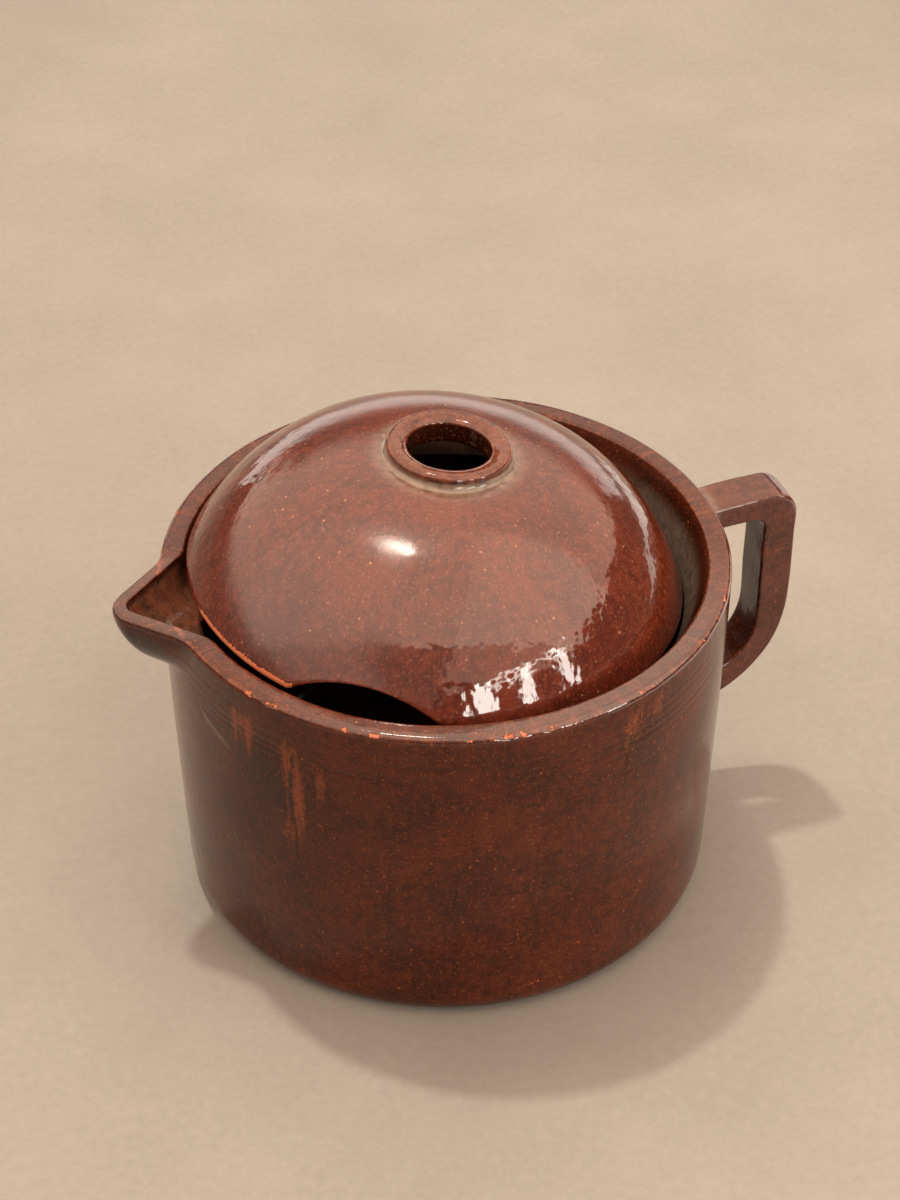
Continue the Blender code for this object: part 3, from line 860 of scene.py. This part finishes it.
class BOILER_OT_lute_handle(bpy.types.Operator):
    """Pull the strap handle, round its edges and lute it to the wall"""

    bl_idname = "boiler.lute_handle"
    bl_label = "Lute strap handle"

    def execute(self, context):
        outer, inner = handle_sides(STRAP_STEPS)
        bpy.ops.object.select_all(action="DESELECT")
        bpy.ops.mesh.primitive_grid_add(x_subdivisions=2, y_subdivisions=STRAP_STEPS, size=2.0)
        strap = bpy.context.object
        strap.name = "glazed_handle"
        strap.data.name = "glazed_handle"
        flat = points_of(strap)
        row = np.rint((flat[:, 1] + 1) / 2 * STRAP_STEPS).astype(int)
        share = ((flat[:, 0] + 1) / 2)[:, None]
        side = outer[row] * (1 - share) + inner[row] * share
        put_points(strap, np.column_stack([side[:, 0], np.full(len(row), -0.5 * HANDLE_WIDTH), side[:, 1]]))
        bpy.ops.object.mode_set(mode="EDIT")
        bpy.ops.mesh.select_all(action="SELECT")
        bpy.ops.mesh.extrude_region_move(TRANSFORM_OT_translate={"value": (0.0, HANDLE_WIDTH, 0.0)})
        bpy.ops.mesh.select_all(action="SELECT")
        bpy.ops.mesh.normals_make_consistent(inside=False)
        bpy.ops.transform.rotate(value=-HANDLE_TURN, orient_axis="Z", center_override=(0.0, 0.0, 0.0))
        bpy.ops.object.mode_set(mode="OBJECT")
        bevel = strap.modifiers.new("Rounded edges", "BEVEL")
        bevel.width = HANDLE_EDGE_ROUND
        bevel.segments = 4
        bevel.limit_method = "ANGLE"
        bevel.angle_limit = CREASE
        smooth = strap.modifiers.new("Smooth", "SUBSURF")
        smooth.levels = 2
        smooth.render_levels = 2
        apply_modifiers(strap)
        make_uneven(strap, context.scene.boiler_sizes.strap_wobble, STRAP_WAVES)
        wear_strap(strap)
        dress(strap, "pot", ("strap_handle",), "handle_glaze")
        return {"FINISHED"}


def dome_curve(shell):
    """Span and height of the whole curve that the dome is cut from, and the share of it below the lid's edge."""
    span = DOME_SPAN - shell
    cut = math.sqrt(1 - ((LID_RADIUS - shell) / span) ** DOME_FULLNESS)
    return span, (DOME_HEIGHT - shell) / (1 - cut), cut


def dome_height(radius, shell):
    """Height of the dome over the lid's edge, on its outer face or a shell's depth below it."""
    span, rise, cut = dome_curve(shell)
    return rise * (np.sqrt(1 - np.clip(radius / span, 0, 1) ** DOME_FULLNESS) - cut)


def dome_radius(height, shell):
    """Radius of the dome at a height over the lid's edge."""
    span, rise, cut = dome_curve(shell)
    return span * (1 - np.clip(height / rise + cut, 0, 1) ** 2) ** (1 / DOME_FULLNESS)


def lid_section():
    """The lid's closed section, from the hole's top edge down the dome, round its edge and back up inside."""
    def face(shell, start, foot, steps):
        span, rise, cut = dome_curve(shell)
        first = math.asin((start / span) ** (0.5 * DOME_FULLNESS))
        last = math.acos(foot / rise + cut)
        swing = first + (last - first) * np.linspace(0, 1, steps + 1)
        return [(span * math.sin(a) ** (2 / DOME_FULLNESS), rise * (math.cos(a) - cut)) for a in swing]

    slope = float(dome_radius(0.0, 0.0) - dome_radius(LID_EDGE_ROUND, 0.0)) / LID_EDGE_ROUND
    lean = math.atan(slope)
    outward, upward = math.cos(lean), math.sin(lean)
    outer_edge = (LID_RADIUS - LID_EDGE_ROUND * (1 + upward) / outward, LID_EDGE_ROUND)
    inner_edge = (LID_RADIUS - LID_WALL + LID_EDGE_ROUND * (1 - upward) / outward, LID_EDGE_ROUND)
    section = face(0.0, HOLE_RADIUS + HOLE_EDGE_ROUND, LID_EDGE_ROUND * (1 + upward), DOME_ROWS)
    section += arc(outer_edge, LID_EDGE_ROUND, math.degrees(lean), -90, 6)[1:]
    section += arc(inner_edge, LID_EDGE_ROUND, 270, 180 + math.degrees(lean), 5)[:-1]
    hollow = face(LID_WALL, HOLE_RADIUS + HOLE_EDGE_ROUND, LID_EDGE_ROUND * (1 - upward), HOLLOW_ROWS)
    section += hollow[::-1]
    hole_top = section[0][1] - HOLE_EDGE_ROUND
    hole_foot = section[-1][1] + HOLE_EDGE_ROUND
    section += line((HOLE_RADIUS, hole_foot), (HOLE_RADIUS, hole_top), 4)
    section.append(section[0])
    return section


def cut_scallops(points):
    """Slide the lid's lower edge up the dome along each scallop's round cut."""
    angle, radius = polar(points)
    height = points[:, 2]
    sweep = (0.25 * SCALLOP_WIDTH ** 2 + SCALLOP_DEPTH ** 2) / (2 * SCALLOP_DEPTH)
    for place in SCALLOP_ANGLES:
        along = LID_RADIUS * np.sin(np.clip(angle_from(angle, math.radians(place)), -1.5, 1.5))
        cut = np.sqrt(np.maximum(sweep ** 2 - along ** 2, 0)) - sweep + SCALLOP_DEPTH
        fade = np.clip(1 - height / (SCALLOP_FADE * SCALLOP_DEPTH), 0, 1) ** 2
        chosen = (cut > 0) & (fade > 0)
        outer = dome_radius(height, 0.0)
        inner = dome_radius(height, LID_WALL)
        share = (radius - inner) / np.maximum(outer - inner, MERGE)
        raised = height + cut * fade
        moved = dome_radius(raised, LID_WALL)
        moved = moved + share * (dome_radius(raised, 0.0) - moved)
        radius = np.where(chosen, moved, radius)
        height = np.where(chosen, raised, height)
    return np.column_stack([radius * np.cos(angle), radius * np.sin(angle), height])


def set_on_seat(points):
    """Take points of the level lid to its place, askew in the funnel and high on the spout side."""
    cos, sin = math.cos(LID_TILT), math.sin(LID_TILT)
    x = points[:, 0] * cos + points[:, 2] * sin - LID_SHIFT
    z = points[:, 2] * cos - points[:, 0] * sin + POT_HEIGHT - LID_DEPTH
    return np.column_stack([x, points[:, 1], z])


def wear_lid(lid, level):
    """Paint where the lid's glaze is thin, wiped off, dusty or smooth, and paint shade into its hole, by its points
    as it lies level.
    """
    angle, radius = polar(level)
    angle = np.degrees(angle) % 360
    height = level[:, 2]
    sector = np.floor(angle).astype(int) % 360
    edge = np.full(360, np.inf)
    np.minimum.at(edge, sector, height)
    off_edge = height - edge[sector]
    outside = radius > dome_radius(height, 0.5 * LID_WALL)
    wiped = band(angle, BARE_EDGE[0] - 4, BARE_EDGE[0] + 4, BARE_EDGE[1] - 2, BARE_EDGE[1] + 2)
    smooth = band(angle, SMOOTH_SIDE[0], SMOOTH_SIDE[0] + 20, SMOOTH_SIDE[1] - 14, SMOOTH_SIDE[1])
    foot = band(radius, COLLAR_RADIUS - 0.004, COLLAR_RADIUS, COLLAR_RADIUS, COLLAR_RADIUS + LID_DUST_REACH)
    bare, thin, wiped_thin = (strength * ramp(off_edge, start, full)
                              for strength, start, full in (LID_BARE, LID_THIN, LID_WIPED_THIN))
    paint(lid, "bare_clay", wiped * bare)
    paint(lid, "thin_glaze", outside * (thin + wiped * wiped_thin))
    paint(lid, "dusty", LID_DUST * outside * foot)
    # Painted shade on the wall of the hole
    paint(lid, "pooled_glaze_and_shade", LID_HOLE_SHADE * (radius < HOLE_RADIUS + 0.0001))
    paint(lid, "satin", outside * np.maximum(ramp(radius, *LID_SATIN), smooth))


class BOILER_OT_throw_lid(bpy.types.Operator):
    """Throw the domed lid, cut its scallops and lay it askew in its seat"""

    bl_idname = "boiler.throw_lid"
    bl_label = "Throw lid"

    def execute(self, context):
        lid = turn("glazed_lid", lid_section(), LID_STEPS)
        level = cut_scallops(points_of(lid))
        wear_lid(lid, level)
        put_points(lid, set_on_seat(level))
        make_uneven(lid, context.scene.boiler_sizes.lid_wobble, LID_WAVES)
        dress(lid, "lid", ("lid_dome",), "lid_glaze")
        return {"FINISHED"}


def collar_section():
    """The collar's closed section: a ring bevelled in to the hole, with a rolled edge and a cove at its foot."""
    inner = HOLE_RADIUS - COLLAR_LINING
    outer = COLLAR_RADIUS
    foot = float(dome_height(outer, 0.0))
    top = foot + COLLAR_HEIGHT
    brim = (outer - COLLAR_OUTER_ROUND, top - COLLAR_OUTER_ROUND)
    section = line((inner + COLLAR_BEVEL, top - COLLAR_DISH), (brim[0] - COLLAR_BRIM, top), 5)
    section += arc(brim, COLLAR_OUTER_ROUND, 84, -10, 8)
    cove_top = (outer - COLLAR_BATTER, foot + 1.3 * COLLAR_COVE)
    cove = curve(cove_top, (outer - 0.75 * COLLAR_BATTER, foot + 0.3 * COLLAR_COVE),
                 (outer + 0.2 * COLLAR_COVE, foot), (outer + COLLAR_COVE, foot - COLLAR_COVE_DROP), 7)
    section += line(section[-1], cove_top, 4)[1:] + [tuple(p) for p in cove[1:]]
    for radius in np.linspace(outer + 0.4 * COLLAR_COVE, inner, 7):
        section.append((float(radius), float(dome_height(radius, 0.0)) - COLLAR_SINK - COLLAR_UNDERCUT))
    section += line(section[-1], (inner, top - COLLAR_BEVEL_DROP), 6)[1:]
    bevel = curve(section[-1], (inner, top - 0.6 * COLLAR_BEVEL_DROP),
                  (inner + 0.5 * COLLAR_BEVEL, top - 0.25 * COLLAR_BEVEL_DROP), section[0], 8)
    section += [tuple(p) for p in bevel[1:]]
    return section


def wear_collar(collar, level):
    """Paint where the collar's glaze is thin, darker in its pits or dusty, and paint shade into its hole, by its
    points as it lies level.
    """
    angle, radius = polar(level)
    depth = level[:, 2].max() - level[:, 2]
    brim = fall_off(np.hypot(radius - COLLAR_RADIUS, depth), COLLAR_THIN_BREADTH)
    mouth = fall_off(np.hypot(radius - HOLE_RADIUS, depth - 0.001), COLLAR_THIN_BREADTH)
    pitted = np.zeros(len(level))
    for place, away, drop, length in COLLAR_PITS:
        along = angle_from(angle, math.radians(place)) * radius / length
        across = np.hypot(radius - HOLE_RADIUS - away, depth - drop) / PIT_BREADTH
        pitted = np.maximum(pitted, ramp(np.hypot(along, across), 1.3, 0.5))
    # Painted shade down the wall of the hole
    hole_shade = (radius < HOLE_RADIUS + 0.0004) * ramp(depth, 0.7 * COLLAR_BEVEL_DROP, 1.2 * COLLAR_BEVEL_DROP)
    foot = (radius > COLLAR_RADIUS - 0.002) * ramp(depth, 0.35 * COLLAR_HEIGHT, 0.75 * COLLAR_HEIGHT)
    paint(collar, "thin_glaze", np.maximum(COLLAR_BRIM_THIN * brim, COLLAR_HOLE_THIN * mouth))
    paint(collar, "pooled_glaze_and_shade", COLLAR_POOL_AND_SHADE * np.maximum(hole_shade, pitted))
    paint(collar, "dusty", COLLAR_DUST * foot)


class BOILER_OT_lute_collar(bpy.types.Operator):
    """Lute the low ring round the lid's hole"""

    bl_idname = "boiler.lute_collar"
    bl_label = "Lute collar"

    def execute(self, context):
        collar = turn("glazed_collar", collar_section(), COLLAR_STEPS)
        level = points_of(collar)
        wear_collar(collar, level)
        put_points(collar, set_on_seat(level))
        make_uneven(collar, 0.5 * context.scene.boiler_sizes.lid_wobble, COLLAR_WAVES)
        dress(collar, "lid", ("lid_collar",), "collar_glaze")
        return {"FINISHED"}


def add(tree, kind, inputs=None, **settings):
    """Add a node with its settings, and set or link its inputs."""
    made = tree.nodes.new(kind)
    for name, value in settings.items():
        setattr(made, name, value)
    for key, value in (inputs or {}).items():
        if isinstance(value, bpy.types.NodeSocket):
            tree.links.new(value, made.inputs[key])
        else:
            made.inputs[key].default_value = value
    return made


def opaque(colour):
    """A colour with full alpha."""
    return (*colour, 1.0)


# Sizes in the glaze, in metres: its clouds and mottle, the rings left by throwing as their length round the pot and
# their spacing, the iron grain, and the distance between larger iron spots. None was measured: they are matched,
# and the grain and rings are drawn no finer than the render can show.
CLOUD_SIZE = 0.026
MOTTLE_SIZE = 0.0032
RING_SIZE = (0.060, 0.0013)
GRAIN_SIZE = 0.0010
SPOT_SPACING = 0.0022

# Relief of the glaze in millimetres, over and above its fired ripples
BRUSH_RELIEF = 0.016
RING_RELIEF = 0.06
MOTTLE_RELIEF = 0.008
PITTING_RELIEF = 0.25
CHIP_RELIEF = -0.25

# Roughness of the glaze where it is fresh, where it is rubbed to satin and where it is gone, and the share of that
# last which dust gives
FRESH = 0.06
RUBBED = 0.20
BARE = 0.72
DUST_DULLS = 0.45

# Where a glaze's pattern stands: with the pot, or with the lid as it lies in its seat
UPRIGHT = ((0.0, 0.0, 0.0), 0.0)
ASKEW = ((-LID_SHIFT, 0.0, POT_HEIGHT - LID_DEPTH), LID_TILT)

# The glaze of each slot, its refractive index matched to how strongly the piece mirrors
FINISHES = {
    # On the thrown wall: dark, grained and clouded, with runs that drew down it
    "pot_glaze": dict(name="iron_brown_lead_glaze_on_thrown_wall", tones="wall", speck="wall_speck", level=UPRIGHT,
                      streak=(0.0045, 0.060, 0.35), specks=0.34, rings=0.45, ripple=0.20, index=1.36),
    # On the lid: redder, with short dark brush lines and a ripple that tears reflections
    "lid_glaze": dict(name="iron_brown_lead_glaze_brushed_on_dome", tones="lid", speck="speck", level=ASKEW,
                      streak=(0.0016, 0.008, 0.55), specks=0.28, rings=0.0, ripple=0.36, index=1.72),
    # On the collar: handled, and dusty in its crease
    "collar_glaze": dict(name="iron_brown_lead_glaze_on_luted_collar", tones="collar", speck="speck", level=ASKEW,
                         streak=(0.0120, 0.006, 0.50), specks=0.30, rings=0.0, ripple=0.25, index=1.60),
    # On the pulled strap: darker, rubbed thin along the edges
    "handle_glaze": dict(name="iron_brown_lead_glaze_on_pulled_strap", tones="strap", speck="wall_speck",
                         level=UPRIGHT, streak=(0.0080, 0.030, 0.50), specks=0.30, rings=0.0, ripple=0.35,
                         index=1.55),
}


def fired_glaze(scene, name, tones, speck, level, streak, specks, rings, ripple, index):
    """Glossy lead glaze over red earthenware, brushed on by hand and fired until it ran a little.

    To the eye: a deep brown that clouds into warmer brown, darker lines where the brush left more, a fine grain
    with orange specks of iron, clay that glows through at edges and runs, and a gloss whose reflections break up on
    its ripples, with a glassy coat on the lip. The streaks run along the meridians of the piece, whose axis level
    gives as a place and a tilt about Y; streak is their width, length and strength. Tones names the two browns and
    speck the colour of the specks. Specks and rings are the strengths of the specks and of the throwing lines round
    the piece, ripple is the height of the fired ripples in millimetres, and index the refractive index.
    """
    colours = scene.boiler_glazes
    brown, warm = (opaque(getattr(colours, f"{tones}_{kind}")) for kind in ("brown", "warm"))
    material = bpy.data.materials.new(name)
    material.use_nodes = True
    tree = material.node_tree
    shader = tree.nodes["Principled BSDF"]
    coordinates = add(tree, "ShaderNodeTexCoord")
    place = add(tree, "ShaderNodeMapping", {"Vector": coordinates.outputs["Object"], "Location": level[0],
                                            "Rotation": (0.0, level[1], 0.0)}, vector_type="TEXTURE").outputs[0]
    parts = add(tree, "ShaderNodeSeparateXYZ", {0: place})
    flat = add(tree, "ShaderNodeCombineXYZ", {0: parts.outputs[0], 1: parts.outputs[1]})
    around = add(tree, "ShaderNodeVectorMath", {0: flat.outputs[0]}, operation="NORMALIZE")
    patterns = []
    for width, length in (streak[:2], RING_SIZE):
        spread = add(tree, "ShaderNodeVectorMath", {0: around.outputs[0], "Scale": RIM_RADIUS / width},
                     operation="SCALE")
        drop = add(tree, "ShaderNodeMath", {0: parts.outputs[2], 1: 1 / length}, operation="MULTIPLY")
        fall = add(tree, "ShaderNodeCombineXYZ", {2: drop.outputs[0]})
        drawn = add(tree, "ShaderNodeVectorMath", {0: spread.outputs[0], 1: fall.outputs[0]}, operation="ADD")
        patterns.append(add(tree, "ShaderNodeTexNoise", {"Vector": drawn.outputs[0], "Scale": 1.0, "Detail": 4.0,
                                                         "Roughness": 0.62}).outputs[0])
    lines, ring = patterns
    sizes = ((CLOUD_SIZE, 3.0), (MOTTLE_SIZE, 4.0), (GRAIN_SIZE, 2.0), (scene.boiler_sizes.peel_width, 2.0))
    cloud, mottle, grain, peel = (
        add(tree, "ShaderNodeTexNoise", {"Vector": place, "Scale": 1 / size, "Detail": detail,
                                         "Roughness": 0.55}).outputs[0] for size, detail in sizes)
    thin, bare, dusty, deep, satin, glassy = (
        add(tree, "ShaderNodeAttribute", attribute_name=layer).outputs["Fac"]
        for layer in ("thin_glaze", "bare_clay", "dusty", "pooled_glaze_and_shade", "satin", "glassy"))

    # Two tones of brown in clouds
    tone = add(tree, "ShaderNodeMath", {0: cloud, 1: mottle}, operation="ADD")
    tone = add(tree, "ShaderNodeMapRange", {0: tone.outputs[0], 1: 0.75, 2: 1.25}, interpolation_type="SMOOTHSTEP")
    colour = add(tree, "ShaderNodeMix", {0: tone.outputs[0], 6: brown, 7: warm}, data_type="RGBA")

    # Darker where the glaze pooled, where shade is painted into the mouth, holes, finger gap and under the spout,
    # along the brush lines, in the throwing lines and in a fine grain
    pooled = deep
    for pattern, start, full, strength in ((lines, 0.54, 0.68, streak[2]), (ring, 0.55, 0.70, rings),
                                           (grain, 0.42, 0.26, 1.2 * specks)):
        dark = add(tree, "ShaderNodeMapRange", {0: pattern, 1: start, 2: full, 4: strength})
        pooled = add(tree, "ShaderNodeMath", {0: pooled, 1: dark.outputs[0]}, operation="MAXIMUM").outputs[0]

    # Iron specks: a fine orange grain and fewer, larger spots of their own sizes
    grained = add(tree, "ShaderNodeMapRange", {0: grain, 1: 0.58, 2: 0.74, 4: specks})
    spots = add(tree, "ShaderNodeTexVoronoi", {"Vector": place, "Scale": 1 / SPOT_SPACING})
    kind = add(tree, "ShaderNodeSeparateColor", {0: spots.outputs["Color"]})
    size = add(tree, "ShaderNodeMapRange", {0: spots.outputs["Distance"], 1: 0.26, 2: 0.10})
    chosen = add(tree, "ShaderNodeMapRange", {0: kind.outputs[0], 1: 0.93, 2: 1.0, 4: 1.1})
    spot = add(tree, "ShaderNodeMath", {0: size.outputs[0], 1: chosen.outputs[0]}, operation="MULTIPLY")
    speckled = add(tree, "ShaderNodeMath", {0: grained.outputs[0], 1: spot.outputs[0]}, operation="MAXIMUM",
                   use_clamp=True).outputs[0]

    # Thin glaze and bare clay, with edges broken by the brush lines, the mottle and the grain
    ragged = thin
    for pattern, share in ((lines, 1.0), (mottle, 0.3), (grain, 0.4)):
        ragged = add(tree, "ShaderNodeMath", {0: pattern, 1: share, 2: ragged},
                     operation="MULTIPLY_ADD").outputs[0]
    worn = add(tree, "ShaderNodeMapRange", {0: ragged, 1: 1.13, 2: 1.50, 4: 0.9},
               interpolation_type="SMOOTHSTEP").outputs[0]
    broken = bare
    for pattern, share in ((mottle, 1.2), (grain, 0.9)):
        broken = add(tree, "ShaderNodeMath", {0: pattern, 1: share, 2: broken},
                     operation="MULTIPLY_ADD").outputs[0]
    chipped = add(tree, "ShaderNodeMapRange", {0: broken, 1: 1.50, 2: 1.60},
                  interpolation_type="SMOOTHSTEP").outputs[0]

    # Dust in the creases
    patchy = add(tree, "ShaderNodeMath", {0: mottle, 1: dusty}, operation="MULTIPLY")
    dust = add(tree, "ShaderNodeMapRange", {0: patchy.outputs[0], 2: 0.70, 4: 0.9}).outputs[0]

    for share, tint in ((pooled, colours.pooled), (speckled, getattr(colours, speck)), (worn, colours.thin),
                        (chipped, colours.clay), (dust, colours.dust)):
        colour = add(tree, "ShaderNodeMix", {0: share, 6: colour.outputs[2], 7: opaque(tint)}, data_type="RGBA")

    # Gloss: rubbed to satin where handled, dull where the glaze is gone or dusty
    dull = add(tree, "ShaderNodeMath", {0: dust, 1: DUST_DULLS}, operation="MULTIPLY")
    dull = add(tree, "ShaderNodeMath", {0: chipped, 1: dull.outputs[0]}, operation="MAXIMUM")
    dull = add(tree, "ShaderNodeMath", {0: dull.outputs[0], 1: BARE}, operation="MULTIPLY")
    rubbed = add(tree, "ShaderNodeMapRange", {0: satin, 3: FRESH, 4: RUBBED})
    roughness = add(tree, "ShaderNodeMath", {0: rubbed.outputs[0], 1: dull.outputs[0]}, operation="MAXIMUM")

    # Relief in millimetres: fired ripples, brush and throwing lines, pitting where worn, and the chips
    calm = add(tree, "ShaderNodeMapRange", {0: satin, 3: ripple, 4: 0.2 * ripple})
    pitting = add(tree, "ShaderNodeMath", {0: thin, 1: PITTING_RELIEF, 2: MOTTLE_RELIEF}, operation="MULTIPLY_ADD")
    relief = add(tree, "ShaderNodeMath", {0: peel, 1: calm.outputs[0]}, operation="MULTIPLY").outputs[0]
    for pattern, height in ((lines, BRUSH_RELIEF), (ring, RING_RELIEF * rings), (mottle, pitting.outputs[0]),
                            (chipped, CHIP_RELIEF)):
        relief = add(tree, "ShaderNodeMath", {0: pattern, 1: height, 2: relief},
                     operation="MULTIPLY_ADD").outputs[0]
    bump = add(tree, "ShaderNodeBump", {"Strength": 1.0, "Distance": 0.001, "Height": relief})

    for socket, source in (("Base Color", colour.outputs[2]), ("Roughness", roughness.outputs[0]),
                           ("Normal", bump.outputs[0]), ("Coat Normal", bump.outputs[0]), ("Coat Weight", glassy)):
        tree.links.new(source, shader.inputs[socket])
    for socket, value in (("Metallic", 0.0), ("IOR", index), ("Coat IOR", 1.6), ("Coat Roughness", 0.07)):
        shader.inputs[socket].default_value = value
    return material


# Sizes of the floor's cloud and grain in metres, matched
FLOOR_CLOUD = 0.09
FLOOR_GRAIN = 0.004


def floor_finish(scene):
    """Honed pale stone: even and matt, with a faint cloud and grain so that it does not look like paper.

    Its colour is painted darker to both sides of the camera's view, a painted shade, so that the glaze has dark to
    mirror near its edges.
    """
    material = bpy.data.materials.new("honed_pale_stone")
    material.use_nodes = True
    tree = material.node_tree
    shader = tree.nodes["Principled BSDF"]
    place = add(tree, "ShaderNodeTexCoord").outputs["Object"]
    cloud, grain = (
        add(tree, "ShaderNodeTexNoise", {"Vector": place, "Scale": 1 / size, "Detail": detail,
                                         "Roughness": rough}).outputs[0]
        for size, detail, rough in ((FLOOR_CLOUD, 4.0, 0.6), (FLOOR_GRAIN, 3.0, 0.7)))
    both = add(tree, "ShaderNodeMath", {0: cloud, 1: grain}, operation="ADD")
    tone = add(tree, "ShaderNodeMapRange", {0: both.outputs[0], 1: 0.7, 2: 1.3, 3: 0.90, 4: 1.08})
    seen = add(tree, "ShaderNodeMapping", {"Vector": place, "Rotation": (0.0, 0.0, -CAMERA_HEADING),
                                           "Scale": (1.0, FADE_LENGTH, 1.0)}, vector_type="TEXTURE")
    away = add(tree, "ShaderNodeVectorMath", {0: seen.outputs[0]}, operation="LENGTH")
    # Painted shade, darkening the floor to both sides of the view
    side_shade = add(tree, "ShaderNodeMapRange", {0: away.outputs["Value"], 1: FADE_START, 2: FADE_END, 3: 1.0,
                                              4: FADE_LEFT}, interpolation_type="SMOOTHSTEP")
    tone = add(tree, "ShaderNodeMath", {0: tone.outputs[0], 1: side_shade.outputs[0]}, operation="MULTIPLY")
    colour = add(tree, "ShaderNodeVectorMath", {0: scene.boiler_glazes.floor, "Scale": tone.outputs[0]},
                 operation="SCALE")
    tree.links.new(colour.outputs[0], shader.inputs["Base Color"])
    shader.inputs["Roughness"].default_value = 0.62
    return material


def from_view(across, along, height):
    """A place in the scene from one given as the camera sees it: to the right, away from the camera, and up."""
    cos, sin = math.cos(CAMERA_HEADING), math.sin(CAMERA_HEADING)
    return (across * cos + along * sin, along * cos - across * sin, height)


def towards(azimuth, elevation, distance):
    """A place in a direction from the lid: degrees to the right of the camera's heading, and degrees up."""
    right, up = math.radians(azimuth), math.radians(elevation)
    level = distance * math.cos(up)
    return from_view(level * math.sin(right), level * math.cos(right), distance * math.sin(up) + LID_LEVEL)


def hang_light(name, place, target, width, depth, brightness, colour, shape="RECTANGLE"):
    """An area light of a size and brightness, hung at a place and turned to a target."""
    data = bpy.data.lights.new(name, "AREA")
    data.shape = shape
    data.size = width
    data.size_y = depth
    area = width * depth * (1.0 if shape == "RECTANGLE" else 0.25 * math.pi)
    data.energy = brightness * math.pi * area
    data.color = colour
    lamp = bpy.data.objects.new(name, data)
    bpy.context.scene.collection.objects.link(lamp)
    lamp.location = place
    lamp.visible_camera = False
    aim = np.subtract(target, place)
    level = math.hypot(aim[0], aim[1])
    heading = math.atan2(-aim[0], aim[1]) if level > MERGE else -CAMERA_HEADING
    lamp.rotation_euler = (math.atan2(level, -aim[2]), 0.0, heading)
    return lamp


class BOILER_OT_set_stage(bpy.types.Operator):
    """Lay the floor, hang the lights and set up the camera"""

    bl_idname = "boiler.set_stage"
    bl_label = "Set stage"

    def execute(self, context):
        scene = context.scene
        stage = scene.boiler_stage
        bpy.ops.object.select_all(action="DESELECT")
        bpy.ops.mesh.primitive_plane_add(size=FLOOR_SIZE)
        floor = bpy.context.object
        floor.name = "floor"
        floor.data.materials.append(floor_finish(scene))

        for name, left, right, front, back, share in OVERHEAD_PANELS:
            middle = from_view(0.5 * (left + right), 0.5 * (front + back), OVERHEAD_LEVEL)
            hang_light(name, middle, (middle[0], middle[1], 0.0), right - left, back - front,
                       share * stage.overhead, WARM_LIGHT)
        boiler = (0.0, 0.0, LID_LEVEL)
        for name, azimuth, elevation, distance, width, share, shows in LAMPS:
            lamp = hang_light(name, towards(azimuth, elevation, distance), boiler, width, width,
                              share * stage.lamp, LAMP_LIGHT, "DISK")
            lamp.visible_glossy = shows
        for name, azimuth, elevation, width, height, share, shows in PANES:
            pane = hang_light(name, towards(azimuth, elevation, PANE_DISTANCE), boiler, width, height,
                              share * stage.pane, DAYLIGHT)
            pane.visible_glossy = shows
        low = 0.5 * BACK_HEIGHT
        hang_light("low_back_panel", from_view(0.0, BACK_DISTANCE, low), (0.0, 0.0, low), BACK_LENGTH, BACK_HEIGHT,
                   stage.back, DAYLIGHT)
        left, right, front, back = CARD
        middle = from_view(0.5 * (left + right), 0.5 * (front + back), CARD_LEVEL)
        hang_light("bounce_card", middle, (middle[0], middle[1], 1.0), right - left, back - front, stage.card,
                   DAYLIGHT)

        world = bpy.data.worlds.new("studio")
        world.use_nodes = True
        background = world.node_tree.nodes["Background"]
        background.inputs["Color"].default_value = opaque(WARM_LIGHT)
        background.inputs["Strength"].default_value = stage.surround
        scene.world = world
        scene.view_settings.view_transform = "Standard"

        data = bpy.data.cameras.new("camera")
        data.lens = CAMERA_LENS
        data.sensor_width = 36.0
        camera = bpy.data.objects.new("camera", data)
        scene.collection.objects.link(camera)
        camera.location = CAMERA_PLACE
        camera.rotation_euler = (0.5 * math.pi - CAMERA_PITCH, 0.0, -CAMERA_HEADING)
        scene.camera = camera
        return {"FINISHED"}


class BOILER_PT_panel(bpy.types.Panel):
    """The boiler's pieces, in the order they are made"""

    bl_idname = "BOILER_PT_panel"
    bl_label = "Milk boiler"
    bl_space_type = "VIEW_3D"
    bl_region_type = "UI"
    bl_category = "Boiler"

    def draw(self, context):
        for operator in OPERATORS:
            self.layout.operator(operator.bl_idname)
        for group in ("boiler_sizes", "boiler_glazes", "boiler_stage"):
            values = getattr(context.scene, group)
            box = self.layout.box()
            for name in values.__annotations__:
                box.prop(values, name)


GROUPS = {"boiler_sizes": BoilerSizes, "boiler_glazes": BoilerGlazes, "boiler_stage": BoilerStage}
OPERATORS = (BOILER_OT_throw_pot, BOILER_OT_lute_handle, BOILER_OT_throw_lid, BOILER_OT_lute_collar,
             BOILER_OT_set_stage)


def register():
    """Make the groups, operators and panel known."""
    for kind in (*GROUPS.values(), *OPERATORS, BOILER_PT_panel):
        bpy.utils.register_class(kind)
    for name, group in GROUPS.items():
        setattr(bpy.types.Scene, name, PointerProperty(type=group))


def unregister():
    """Forget them again."""
    for name in GROUPS:
        delattr(bpy.types.Scene, name)
    for kind in (BOILER_PT_panel, *reversed(OPERATORS), *GROUPS.values()):
        bpy.utils.unregister_class(kind)


def main():
    """Make every piece in order."""
    register()
    bpy.ops.boiler.throw_pot()
    bpy.ops.boiler.lute_handle()
    bpy.ops.boiler.throw_lid()
    bpy.ops.boiler.lute_collar()
    bpy.ops.boiler.set_stage()


if __name__ == "__main__":
    main()
